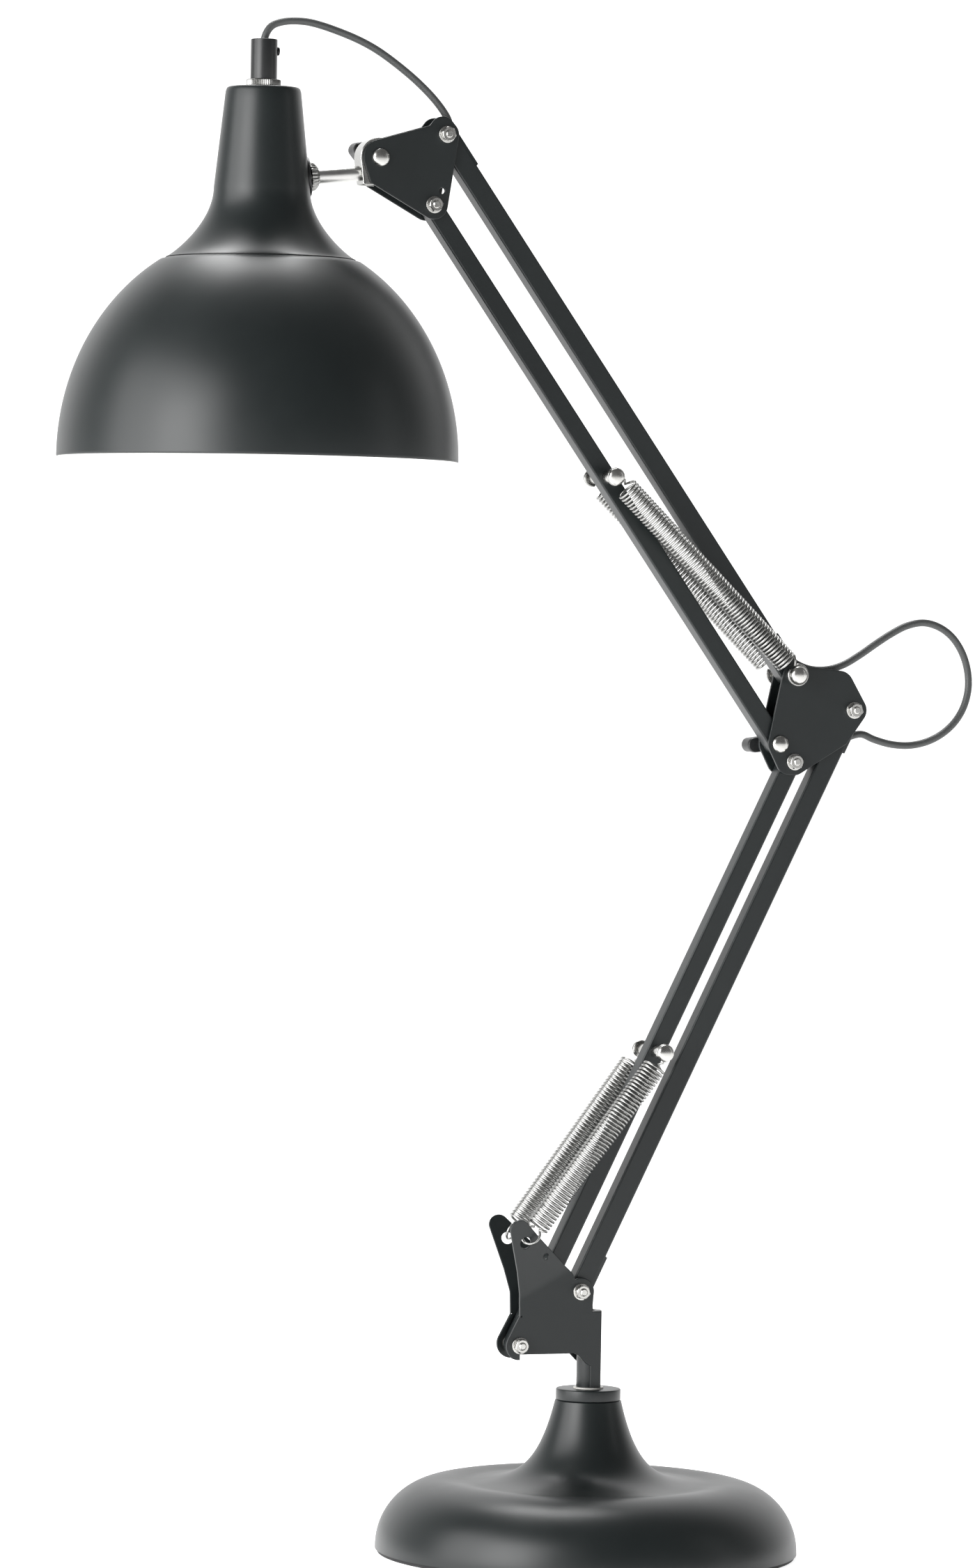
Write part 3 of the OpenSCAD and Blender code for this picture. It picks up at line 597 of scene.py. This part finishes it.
def spring_pin(name, p, body):
    shape = Shape()
    rod(shape, outward(p, 18, -1), BOLT_R, 36)
    for side in (-1, 1):
        rod(shape, outward(p, side * 5.05, side), 3.2, 10.9, 0.3)
        dome(shape, outward(p, side * 18, side), 4.6, 2.75)
    shape.piece(name + "_turned", NICKEL, body, "nickel", name)


spring_pin("lower_spring_pin", LOWER_MID, "lower_front")
spring_pin("upper_spring_pin", UPPER_MID, "upper_front")


def anchor_and_screws():
    shape = Shape()
    rod(shape, outward(Q1, ANCHOR_Y, -1), BOLT_R, 2 * ANCHOR_Y)
    for side in (-1, 1):
        rod(shape, outward(Q1, side * FACE, side), 3.2, 6.7, 0.3)
        dome(shape, outward(Q1, side * ANCHOR_Y, side), 4.6, 3.0)
    shape.piece("spring_anchor_turned", NICKEL, "elbow", "nickel", "spring_anchor")
    for name, p, body in (("elbow_clamp_screw", Q2, "elbow"), ("head_clamp_screw", TILT, "head")):
        shape = Shape()
        rod(shape, outward(p, -FACE, 1), BOLT_R, 2 * FACE + 11.9)
        dome(shape, outward(p, -FACE, -1), 4.6 if p is Q2 else 4.7, 2.8)
        shape.piece(name + "_turned", NICKEL, body, "nickel", name)


anchor_and_screws()


def wing_knob(name, p, degrees, body):
    """Moulded wing on a round hub, with dished flanks."""
    place = (Matrix.Translation((p[0], FACE + 0.3, p[1])) @ Matrix.Rotation(radians(-degrees), 4, "Y")
             @ Matrix.Rotation(radians(-90), 4, "X"))
    shape = Shape()
    hub = rounded([(2.1, 0), (5.5, 0), (5.5, 5), (2.1, 5)], [0.1, 0.6, 0.5, 0], 3)
    shape.add(*revolve(hub, 48, closed=True), place)
    verts, faces, rings = [], [], []
    count = 72
    levels = [(0.9, 3.6), (1.0, 4.3)] + [(1.0, 4.3 + 9.2 * k / 8) for k in range(1, 9)]
    levels += [(1 - 0.42 * (1 - cos(a)), 13.5 + 1.45 * sin(a)) for a in (k * pi / 2 / 5 for k in range(1, 6))]
    for grow, z in levels:
        ring = []
        for k in range(count):
            a = 2 * pi * k / count
            x, y = 6.5 * (1 if cos(a) > 0 else -1) + 4.2 * cos(a), 4.2 * sin(a)
            waist = 1 - 0.16 * (1 - min(1, abs(x) / 9.5) ** 2) * min(1, max(0, (z - 4.5) / 3))
            inset = 4.2 * (1 - grow)
            ring.append(len(verts))
            verts.append((x - inset * cos(a) * 1.2, (y - inset * sin(a)) * waist, z))
        rings.append(ring)
    for low, high in zip(rings, rings[1:]):
        faces += [(low[k], low[(k + 1) % count], high[(k + 1) % count], high[k]) for k in range(count)]
    faces += [tuple(rings[0]), tuple(rings[-1])]
    shape.add(verts, faces, place)
    shape.piece(name + "_moulded", PLASTIC, body, "black_plastic", name, sharp=50)


wing_knob("elbow_knob", Q2, 8, "elbow_wing")
wing_knob("head_knob", TILT, 130, "head_wing")


# ---------------------------------------------------------------- bars
def bar_place(a, b):
    return Matrix.Translation((a[0], 0, a[1])) @ Matrix.Rotation(-atan2(b[1] - a[1], b[0] - a[0]), 4, "Y")


def cut_with(obj, cutters):
    for cutter in cutters:
        mod = obj.modifiers.new("cut", "BOOLEAN")
        mod.object, mod.operation, mod.solver = cutter, "DIFFERENCE", "EXACT"
    bpy.context.view_layer.update()
    mesh = bpy.data.meshes.new_from_object(obj.evaluated_get(bpy.context.evaluated_depsgraph_get()))
    obj.modifiers.clear()
    old, obj.data = obj.data, mesh
    bpy.data.meshes.remove(old)
    for cutter in cutters:
        bpy.data.objects.remove(cutter)


def make_bar(name, a, b, width, body, channels):
    place = bar_place(a, b)
    stadium = [Vector((ARM, 0)) + width / 2 * Vector((cos(t), sin(t))) for t in
               (radians(-90 + 10 * k) for k in range(19))]
    stadium += [width / 2 * Vector((cos(t), sin(t))) for t in (radians(90 + 10 * k) for k in range(19))]
    if channels:
        low = -width / 2
        stadium += [Vector(p) for p in ((0.6, low - FLANGE), (CHANNEL - 0.3, low - FLANGE), (CHANNEL, low),
                                        (ARM - CHANNEL, low), (ARM - CHANNEL + 0.3, low - FLANGE),
                                        (ARM - 0.6, low - FLANGE))]
    obj = Shape().add(*sheet(stadium, (), 10, 0.9, 3), place).piece(name + "_tube", PAINT)
    cutters = []
    for x0, x1 in ((-9, CHANNEL if channels else 9), (ARM - (CHANNEL if channels else 9), ARM + 9)):
        top = width / 2 - 0.9
        low = -9 if channels else -top
        box = [(x0, low), (x1, low), (x1, top), (x0, top)]
        verts, faces = sheet([Vector(p) for p in box], (), 8.2, 0.05, 1)
        cutters.append(Shape().add(verts, faces, place).piece("cutter", PAINT))
    cut_with(obj, cutters)
    obj.data.polygons.foreach_set("use_smooth", [True] * len(obj.data.polygons))
    obj.data.set_sharp_from_angle(angle=radians(40))
    obj.modifiers.new("face_weighted_normals", "WEIGHTED_NORMAL").keep_sharp = True
    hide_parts(name)
    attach(obj, body)


make_bar("lower_rear_bar", R1, S1, 11, "lower_rear", True)
make_bar("upper_rear_bar", Q1, P1, 11, "upper_rear", True)
make_bar("lower_front_bar", R2, S2, 10, "lower_front", False)
make_bar("upper_front_bar", Q2, P2, 10, "upper_front", False)


# ---------------------------------------------------------------- brackets
def bracket(name, outline, holes, y, body):
    shape = Shape().add(*sheet(outline, holes, PLATE_T, PLATE_EDGE, 3), upright(y=y))
    shape.piece(name + "_pressed", PAINT, body, "satin_black", name, weighted=True)


ELBOW_OUTLINE = lobes([(S2, 7.2), (S1 + Vector((-5, -17)), 1.5), (S1, 7.4),
                       ((134.5, 462.5), 8.2), (Q1, 5.4), (Q2, 6.8), ((105.5, 421.5), 6.8)])
HEAD_OUTLINE = lobes([(P2, 7.7), (P1, 6.8), (P1 + Vector((-2.2, 2.4)), 6.9), (P1 + Vector((-9.6, 4.2)), 0),
                      (TILT, 9.3), (TILT + Vector((-3.7, -12.3)), 1.6)])
for side, word in ((-1, "near"), (1, "far")):
    bracket("elbow_plate_" + word, ELBOW_OUTLINE, [circle(p, HOLE_R) for p in (S1, S2, Q1, Q2)],
            side * PLATE_Y, "elbow")
    bracket("head_plate_" + word, HEAD_OUTLINE,
            [circle(p, HOLE_R) for p in (P1, P2, TILT)] + [circle(P2 + Vector((4.3, 7.4)), 1.6)],
            side * PLATE_Y, "head")

POST_OUTLINE = lobes([(R2, 7.6), ((-41.8, 104.4), 0), ((-41.8, 107.3), 0), ((-11, 107.3), 0), ((-9, 106.4), 0),
                      ((-6.8, 104.2), 0), ((-4.6, 102), 0), ((-2, 100.5), 0), ((-2, 88.8), 0), ((3.9, 88.8), 0),
                      ((3.4, 129), 0.5), ((-1.5, 129.5), 0), (R1, 7.4), ((-11.3, 146.6), 0), ((-13, 150), 0),
                      ((-34.5, 170.4), 0), ((-46.9, 175.2), 5.4), ((-45.4, 151.5), 0), ((-42.7, 139.4), 0),
                      ((-41.5, 127.4), 0.8)])


def lip_outline():
    """The edge by the front pivot, where a narrow lip is turned in."""
    turn = [radians(152 + 8 * k) for k in range(15)]
    outer = [R2 + 7.5 * Vector((cos(a), sin(a))) for a in turn]
    inner = [R2 + 6.3 * Vector((cos(a), sin(a))) for a in reversed(turn)]
    return outer + inner + [Vector((-41.1, 127.2)), Vector((-42.2, 127.2))]


def post_plate(side, word):
    """The ears lean outwards above a sloping bend."""
    verts, faces = sheet(POST_OUTLINE, [circle(R1, HOLE_R), circle(R2, HOLE_R), circle((-29.7, 159.9), 1.65),
                                        circle(HOOK_HOLE, 3.2)], PLATE_T, PLATE_EDGE, 3)
    bm = bmesh.new()
    made = [bm.verts.new(Vector((v[0], v[1] + side * POST_PLATE_Y, v[2]))) for v in verts]
    for f in faces:
        bm.faces.new([made[i] for i in f])
    bend_at, along = Vector((-50, 0, 134)), Vector((cos(radians(28.8)), 0, sin(radians(28.8))))
    across = Vector((-along.z, 0, along.x))
    reach, lean = 5.0, radians(14.5)
    for k in range(7):
        where = bend_at + across * (reach * (k / 6 - 0.5))
        bmesh.ops.bisect_plane(bm, geom=bm.verts[:] + bm.edges[:] + bm.faces[:], plane_co=where,
                               plane_no=across)
    for v in bm.verts:
        s = (v.co - bend_at).dot(across) + reach / 2
        if s <= 0:
            continue
        y = v.co.y - side * 6.5
        r = reach / lean
        a = min(s, reach) / r
        rest = max(0, s - reach)
        forward = r * sin(a) + rest * cos(a)
        out = r * (1 - cos(a)) + rest * sin(a)
        y_rel = side * y
        v.co += across * (forward - s - y_rel * sin(a)) + Vector((0, side * (out + y_rel * (cos(a) - 1)), 0))
    shape = Shape()
    bm.verts.index_update()
    shape.add([v.co for v in bm.verts], [[v.index for v in f.verts] for f in bm.faces])
    bm.free()
    shape.add(*sheet(list(reversed(lip_outline())), (), 1.3, 0.25, 2), upright(y=side * 5.95))
    shape.piece("post_plate_" + word + "_pressed", PAINT, "post", "satin_black", "post_plate_" + word,
                weighted=True)


post_plate(-1, "near")
post_plate(1, "far")


# ---------------------------------------------------------------- springs
def spring_line(a, b, hook_a, hook_b, lead_a, lead_b, twist, per_turn=18):
    """Points of one tension spring from hook a, turned by twist about the spring, to hook b."""
    axis = (b - a).normalized()
    long = (b - a).length
    side = Vector((0, 1, 0))
    side = (side - axis * side.dot(axis)).normalized()
    flat_dir = side.cross(axis)
    turns = round((long - lead_a - lead_b) / COIL_PITCH)
    wound = 2 * pi * turns - twist
    step = (long - lead_a - lead_b) / wound

    def at(u, v, s):
        return a + flat_dir * u + side * v + axis * s

    def turned(u, s):
        return at(u * cos(twist), u * sin(twist), s)

    points = [turned(-hook_a * sin(t), hook_a * cos(t)) for t in (radians(14 + 14 * k) for k in range(24))]
    points += [turned(0.5 * (hook_a * 0.56 + COIL_R), (hook_a * 0.83 + lead_a) / 2)]
    count = round(wound / (2 * pi) * per_turn)
    for k in range(count + 1):
        t = wound * k / count
        points.append(at(COIL_R * cos(t + twist), COIL_R * sin(t + twist), lead_a + step * t))
    points += [at(3.6, 1.6, long - lead_b + 1.1), at(1.2, 0.6, long - lead_b + 2.4)]
    points += [at(0.62 * hook_b, 0, long - hook_b - 0.4)]
    points += [at(hook_b * sin(t), 0, long - hook_b * cos(t)) for t in (radians(30 + 15 * k) for k in range(21))]
    return points, axis, long


def spring(name, a, b, hook_a, lead_a, twist):
    """A coil in three stretches, each made as a piece of its own."""
    points, axis, long = spring_line(a, b, hook_a, 4.2, lead_a, 9, twist)
    frames = frames_along(points)

    cuts = [0.0, 0.13, 0.4, 1.0]
    places = [(p - a).dot(axis) / long for p in points]
    first = 0
    for k in range(3):
        last = len(points) - 1
        if k < 2:
            last = next(i for i in range(first + 30, len(points)) if places[i] >= cuts[k + 1])
        shape = Shape().add(*tube(points[first:last + 1], WIRE_R, 8, True, frames[first:last + 1]))
        obj = shape.piece(f"{name}_coil_{k + 1}", WIRE, slot="spring_wire", replaces=name if k == 0 else (),
                          sharp=80)
        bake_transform(obj)
        first = last


for side, word in ((-1, "near"), (1, "far")):
    hole = Vector((HOOK_AT.x, side * HOOK_AT.y, HOOK_AT.z))
    pin = Vector((LOWER_MID.x, side * PIN_Y, LOWER_MID.y))
    spring("lower_spring_" + word, hole + EAR_HOOK_R * (pin - hole).normalized(), pin, EAR_HOOK_R, 6,
           side * pi / 4)
    spring("upper_spring_" + word, Vector((Q1.x, side * HOOK_Y, Q1.y)),
           Vector((UPPER_MID.x, side * PIN_Y, UPPER_MID.y)), 5.4, 9, 0)


# ---------------------------------------------------------------- base
def flare(r):
    """The height of the base's flared neck at radius r."""
    return 37.5 + 44.5 * exp(-(r - 17.5) / 10.4)


def make_base():
    outer = [(112, 2.0)] + [(76 + 36 * cos(a), 3 + 36 * sin(a)) for a in (k * pi / 2 / 28 for k in range(1, 29))]
    outer += [(73, 38.85), (70, 38.55), (67, 38.2), (64, 37.9)]
    outer += [(r, flare(r)) for r in (61, 58, 55, 52, 49, 46, 43, 40.5, 38, 36, 34, 32, 30, 28.3, 26.8, 25.4, 24.2,
                                      23.1, 22.1, 21.2, 20.4, 19.7, 19.1, 18.6, 18.2, 17.85, 17.6)]
    outer += [(17.35, 81.6), (17.0, 81.95), (16, 82)]
    inner = [(15.4, 80.5), (17.2, 70), (22, 62), (30, 49), (44, 38.6), (60, 36), (74, 36.2), (90, 33), (104, 24),
             (110.2, 8), (110.2, 2.4), (111.2, 2.0)]
    Shape().add(*revolve(outer + inner, 192, closed=True)).piece(
        "base_cover_spun", PAINT, "base", "satin_black", "base_cover", sharp=50)
    pad = rounded([(0, 0), (110.9, 0), (110.9, 2), (0, 2)], [0, 0.7, 0.4, 0], 4, closed=False)
    Shape().add(*revolve(pad, 160)).piece("base_pad_disc", RUBBER, "base", "pad_rubber", "base_pad")
    ring = rounded([(7, 82.05), (17.2, 82.05), (17.2, 88), (7, 88)], [0, 0.45, 0.7, 0.2], 4)
    Shape().add(*revolve(ring, 96, closed=True)).piece(
        "collar_ring_turned", PAINT, "base", "satin_black", "collar_ring")
    eye = rounded([(2.05, 104), (5.5, 104), (5.5, 106.4), (3.95, 106.4), (3.95, 109.2), (3.5, 110), (2.05, 110)],
                  [0.2, 0.6, 0.6, 0.2, 0.2, 0.3, 0.4], 3)
    place = upright(z=13) @ Matrix.Rotation(radians(-90), 4, "X")
    Shape().add(*revolve(eye, 40, closed=True), place).piece("cable_grommet_moulded", RUBBER, "base", "pad_rubber",
                                                            "cable_grommet")
    finish_node("base_weight", IRON)
    finish_node("socket_tube", ZINC)
    finish_node("socket_nut", ZINC)
    finish_node("swivel_bush", NYLON)
    stub = rounded([(3, 52), (6, 52), (6, 88.8), (6.5, 88.8), (6.5, 129.5), (3, 129.5)],
                   [0.2, 0.4, 0, 0.2, 0.5, 0.3], 3)
    Shape().add(*revolve(stub, 64, closed=True)).piece(
        "post_stub_turned", PAINT, "post", "satin_black", "post_stub")


make_base()


# ---------------------------------------------------------------- head: yoke, stem, shade
def make_yoke():
    """A strap bent round the tilt screw, with a cheek on each side inside the bracket."""
    r, t, half = 9.8, 1.2, 5.6
    path = [TILT + r * Vector((cos(a), sin(a))) for a in (radians(62 + 8 * k) for k in range(17))]
    foot = TILT + Vector((-8.0, -14.0))
    path += [path[-1] + (foot - path[-1]) * k / 4 for k in range(1, 5)]
    verts, faces = [], []
    for i, p in enumerate(path):
        d = (path[min(i + 1, len(path) - 1)] - path[max(i - 1, 0)]).normalized()
        n = Vector((d.y, -d.x))
        for q, y in ((t / 2, -half + 0.3), (t / 2, half - 0.3), (t / 2 - 0.3, half), (-t / 2 + 0.3, half),
                     (-t / 2, half - 0.3), (-t / 2, -half + 0.3), (-t / 2 + 0.3, -half), (t / 2 - 0.3, -half)):
            verts.append((p.x + n.x * q, y, p.y + n.y * q))
    for i in range(len(path) - 1):
        faces += [(8 * i + k, 8 * i + (k + 1) % 8, 8 * i + 8 + (k + 1) % 8, 8 * i + 8 + k) for k in range(8)]
    faces += [tuple(range(8)), tuple(range(8 * len(path) - 8, 8 * len(path)))]
    shape = Shape().add(verts, faces)
    cheek = lobes([(TILT + Vector((-7.2, -13.2)), 1.2), (TILT + Vector((0.2, -13.2)), 1.2), (TILT, 9.6)])
    for side in (-1, 1):
        shape.add(*sheet(cheek, [circle(TILT, HOLE_R)], 1.2, 0.2, 2), upright(y=side * 5.0))
    shape.piece("yoke_folded", CHROME, "tilt_yoke", "bright_chrome", "yoke", weighted=True)
    rod_shape = Shape()
    rod(rod_shape, on_stem(-2), 3.97, 38.9, 0.5, 48)
    rod_shape.piece("stem_turned", STEM, "tilt_yoke", "bright_chrome", "stem")
    finish_node("stem_nut", NICKEL)


make_yoke()


def neck_r(z):
    """The neck's radius at a height over the rim: flared below the waist at 141, tapered above it."""
    return 25 + 23.5 * ((141 - z) / 37) ** 1.95 if z < 141 else 25 - 5.6 * (z - 141) / 52


def neck_depth(x, y):
    """How far along the stem the neck's surface is, beside the stem's axis by x and y."""
    low, high = 18.0, 36.0
    for _ in range(24):
        mid = (low + high) / 2
        p = on_stem(mid) @ Vector((x, y, 0))
        if hypot(p.x - SHADE_X, p.y) > neck_r(p.z - SHADE_Z):
            low = mid
        else:
            high = mid
    return low


def make_shade():
    at = upright(SHADE_X, SHADE_Z)
    # dome: black outside, white inside, with a rolled rim and a folded upper edge
    start, top = radians(2.5), acos(sqrt(1 - (SEAM / DOME_HEIGHT) ** 2))
    outer = [(RIM_R, 0.6), (RIM_R, 1.5)]
    outer += [(RIM_R * cos(a), 0.4 + DOME_HEIGHT * sin(a)) for a in
              (start + (top - start) * k / 44 for k in range(45))]
    outer[-1] = (50.2, 103.6)
    lip = [(49.9, 103.7), (49.6, 103.5), (48.6, 103.0)]
    inner = [(r - SHEET_T * cos(atan2(z, r)), z - SHEET_T * sin(atan2(z, r)) * 0.6)
             for r, z in reversed(outer[2:-1])]
    rim = [(103.5, 0.6), (103.7, 0.15), (104.0, 0.0), (104.3, 0.15)]
    profile = outer + lip + inner + rim
    verts, faces = revolve(profile, 160, closed=True)
    shape = Shape().add(verts, faces, at)
    inside_from = len(outer) + len(lip) - 1
    shape.mats = [1 if inside_from <= i // 160 < inside_from + len(inner) + 3 else 0
                  for i in range(len(faces))]
    shape.piece("shade_dome_spun", [PAINT, ENAMEL], "shade", "satin_black", "shade_dome", sharp=50)
    # neck
    outer = [(48.2, SEAM - 1.2), (48.2, SEAM + 0.1), (49.2, SEAM + 0.15), (49.35, SEAM + 0.3)]
    outer += [(neck_r(z) + 1.1 * exp((SEAM - z) / 2.4), z) for z in [SEAM + 0.65 + 1.2 * k for k in range(31)]]
    outer += [(neck_r(z), z) for z in (143, 148, 155, 162, 170, 178, 186, 190.5)]
    outer += [(19.35, 191.6), (19.0, 192.4), (18.3, 192.9), (17.6, 193)]
    outer += [(4.9, 193), (4.9, 192)]
    inner = [(r - SHEET_T, z) for r, z in ((18.4, 190.6), (20.5, 183), (22.2, 167), (24.9, 142), (26.1, 134),
                                       (28.6, 127), (33, 119.5), (39.4, 111.5), (45.6, 105.6),
                                       (47.4, 104.2), (48.2, 102.8))]
    Shape().add(*revolve(outer + [(17.0, 191.9)] + inner, 128, closed=True), at).piece(
        "shade_neck_spun", PAINT, "shade", "satin_black", "shade_neck", sharp=50)
    # saddle and cup washer on the stem
    saddle = rounded([(4.3, 0.06), (10.4, 0.06), (10.4, 1.25), (4.3, 1.25)], [0.1, 0.2, 0.4, 0.1], 3)
    verts, faces = revolve(saddle, 96, closed=True)
    verts = [(x, y, neck_depth(x, y) - z) for x, y, z in verts]
    Shape().add(verts, [tuple(reversed(f)) for f in faces], on_stem(0)).piece(
        "saddle_washer_moulded", PLASTIC, "shade", "black_plastic", "saddle_washer")
    cup = rounded([(4.05, -4.4), (5.3, -4.4), (7.2, -2.6), (7.8, -0.4), (7.9, 0.5), (4.05, 0)],
                  [0.2, 0.9, 0.9, 0.3, 0.2, 0.1], 4)

    def teeth(r, z, a):
        return r - 0.4 * abs(((a / (2 * pi) * 26) % 1) * 2 - 1) if r > 7.0 else r

    Shape().add(*revolve(cup, 208, closed=True, radius_at=teeth), on_stem(neck_depth(0, 0) - 1.3)).piece(
        "cup_washer_pressed", NICKEL_PAINTED_KNURL_SHADE, "shade", "bright_chrome", "cup_washer", sharp=60)
    finish_node("carrier_tube", BRASS)


make_shade()


def make_lampholder():
    """Holder shell, brass screw sleeve with a rolled thread, and centre contact."""
    at = upright(SHADE_X, SHADE_Z + 82)
    shell = rounded([(14.4, 0), (18.4, 0), (19.5, 1.2), (19.5, 9), (18.9, 9.6), (18.9, 11.4), (19.5, 12),
                     (19.5, 34), (9.5, 46), (3.65, 46), (3.65, 30), (14.4, 26.4)],
                    [0.4, 0.7, 0.5, 0.2, 0.2, 0.2, 0.2, 2.5, 1.2, 0.1, 0.1, 0.1], 3)

    def ribs(r, z, a):
        return r - 0.35 * (0.5 + 0.5 * cos(24 * a)) if r > 19.3 and 13.5 < z < 31 else r

    Shape().add(*revolve(shell, 144, closed=True, radius_at=ribs), at).piece(
        "lampholder_shell", PORCELAIN, "shade", "holder_shell", "lampholder")
    pitch, length = 3.62, 24.0
    rows = 72

    def thread(r, z, a):
        return r + 0.42 * sin(2 * pi * (z / pitch - a / (2 * pi)))

    outer = [(13.95, 1.0 + length * k / rows) for k in range(rows + 1)]
    inner = [(13.55, z) for _, z in reversed(outer)]
    Shape().add(*revolve(outer + inner, 64, closed=True, radius_at=thread), at).piece(
        "lampholder_screw_sleeve", BRASS, "shade", "brass_tube", sharp=60)
    contact = Shape()
    rod(contact, at @ upright(z=25.2), 6.5, 1.2, 0.3)
    dome(contact, at @ upright(z=25.4) @ Matrix.Rotation(pi, 4, "X"), 2.6, 1.8)
    contact.piece("lampholder_centre_contact", BRASS, "shade", "brass_tube")


make_lampholder()


def make_cord_grip():
    at = upright(SHADE_X, SHADE_Z + 193)
    ring = rounded([(4.9, 0.05), (8.95, 0.05), (8.95, 4), (4.9, 4)], [0.1, 0.5, 0.5, 0.1], 2)

    def knurl(r, z, a):
        return r - 0.32 * abs(((a / (2 * pi) * 56) % 1) * 2 - 1) if r > 8.4 else r

    Shape().add(*revolve(ring, 224, closed=True, radius_at=knurl), at).piece(
        "knurled_ring_turned", NICKEL_PAINTED_KNURL_SHADE, "shade", "nickel", "knurled_ring", sharp=60)
    grip = rounded([(4.95, 0.1), (6.9, 0.1), (6.9, 21), (2.1, 21), (2.1, 3), (4.95, 3)],
                   [0.1, 0.3, 0.5, 0.3, 0.1, 0.1], 4)
    Shape().add(*revolve(grip, 64, closed=True), at @ upright(z=4)).piece(
        "cord_grip_moulded", PLASTIC, "shade", "black_plastic", "cord_grip")
    screw = Shape()
    side = at @ upright(z=19) @ Matrix.Rotation(pi / 2, 4, "Y")
    rod(screw, side @ upright(z=4), 1.4, 3, 0.1, 24)
    profile = rounded([(0, 0), (2.3, 0), (2.3, 1.2), (0.45, 1.2), (0.4, 0.6), (0, 0.6)],
                      [0, 0.1, 0.4, 0.1, 0, 0], 3, closed=False)
    screw.add(*revolve(profile, 32), side @ upright(z=6.85))
    screw.piece("grip_screw_turned", OXIDE, "shade", "black_screw", "grip_screw")


make_cord_grip()


# ---------------------------------------------------------------- studio
def area_light(name, at, towards, size, power, size_y):
    data = bpy.data.lights.new(name, "AREA")
    data.shape, data.size, data.size_y, data.energy = "RECTANGLE", size, size_y, power
    obj = bpy.data.objects.new(name, data)
    scene.collection.objects.link(obj)
    obj.location = at
    obj.rotation_euler = (Vector(towards) - Vector(at)).to_track_quat("-Z", "Y").to_euler()


def make_studio():
    mesh = bpy.data.meshes.new("floor")
    mesh.from_pydata([(-30, -30, 0), (30, -30, 0), (30, 30, 0), (-30, 30, 0)], [], [(0, 1, 2, 3)])
    floor = bpy.data.objects.new("floor", mesh)
    white = material("studio_floor", (0.92, 0.92, 0.92), rough=0.9, tone_by=0.004, grain=40, relief=0.0,
                     specular=0.0)
    glow = white.node_tree.nodes["Principled BSDF"]
    glow.inputs["Emission Color"].default_value = (1, 1, 1, 1)
    glow.inputs["Emission Strength"].default_value = 0.8
    mesh.materials.append(white)
    scene.collection.objects.link(floor)
    world = bpy.data.worlds.new("studio")
    world.use_nodes = True
    tree = world.node_tree
    link = tree.links.new
    sky = tree.nodes.new("ShaderNodeTexCoord")

    # white behind the lamp as the camera sees it, dim on the camera's side
    ahead = tree.nodes.new("ShaderNodeVectorMath")
    ahead.operation = "DOT_PRODUCT"
    ahead.inputs[1].default_value = (0.342, 0.94, 0)
    link(sky.outputs["Generated"], ahead.inputs[0])
    level = tree.nodes.new("ShaderNodeMapRange")
    level.interpolation_type = "SMOOTHSTEP"
    level.inputs["From Min"].default_value, level.inputs["From Max"].default_value = 0.2, 0.85
    level.inputs["To Min"].default_value, level.inputs["To Max"].default_value = 0.12, 1.35
    link(ahead.outputs["Value"], level.inputs["Value"])
    back = tree.nodes["Background"]
    back.inputs["Color"].default_value = (1, 1, 1, 1)
    link(level.outputs["Result"], back.inputs["Strength"])
    scene.world = world
    scene.view_settings.view_transform = "Standard"
    # a wide box at the left with a brighter core, one from above and behind, and a thin strip at the right
    area_light("left_softbox", (-2.3, -0.55, 0.75), (-0.15, 0, 0.45), 3.0, 90, 2.6)
    area_light("left_core", (-2.1, -1.0, 0.65), (-0.15, 0, 0.45), 1.0, 22, 1.9)
    area_light("overhead_softbox", (0.0, 0.85, 2.4), (-0.15, 0, 0.4), 1.1, 34, 1.0)
    area_light("right_strip", (2.0, -1.2, 0.8), (0, 0, 0.4), 0.35, 2, 2.0)


make_studio()
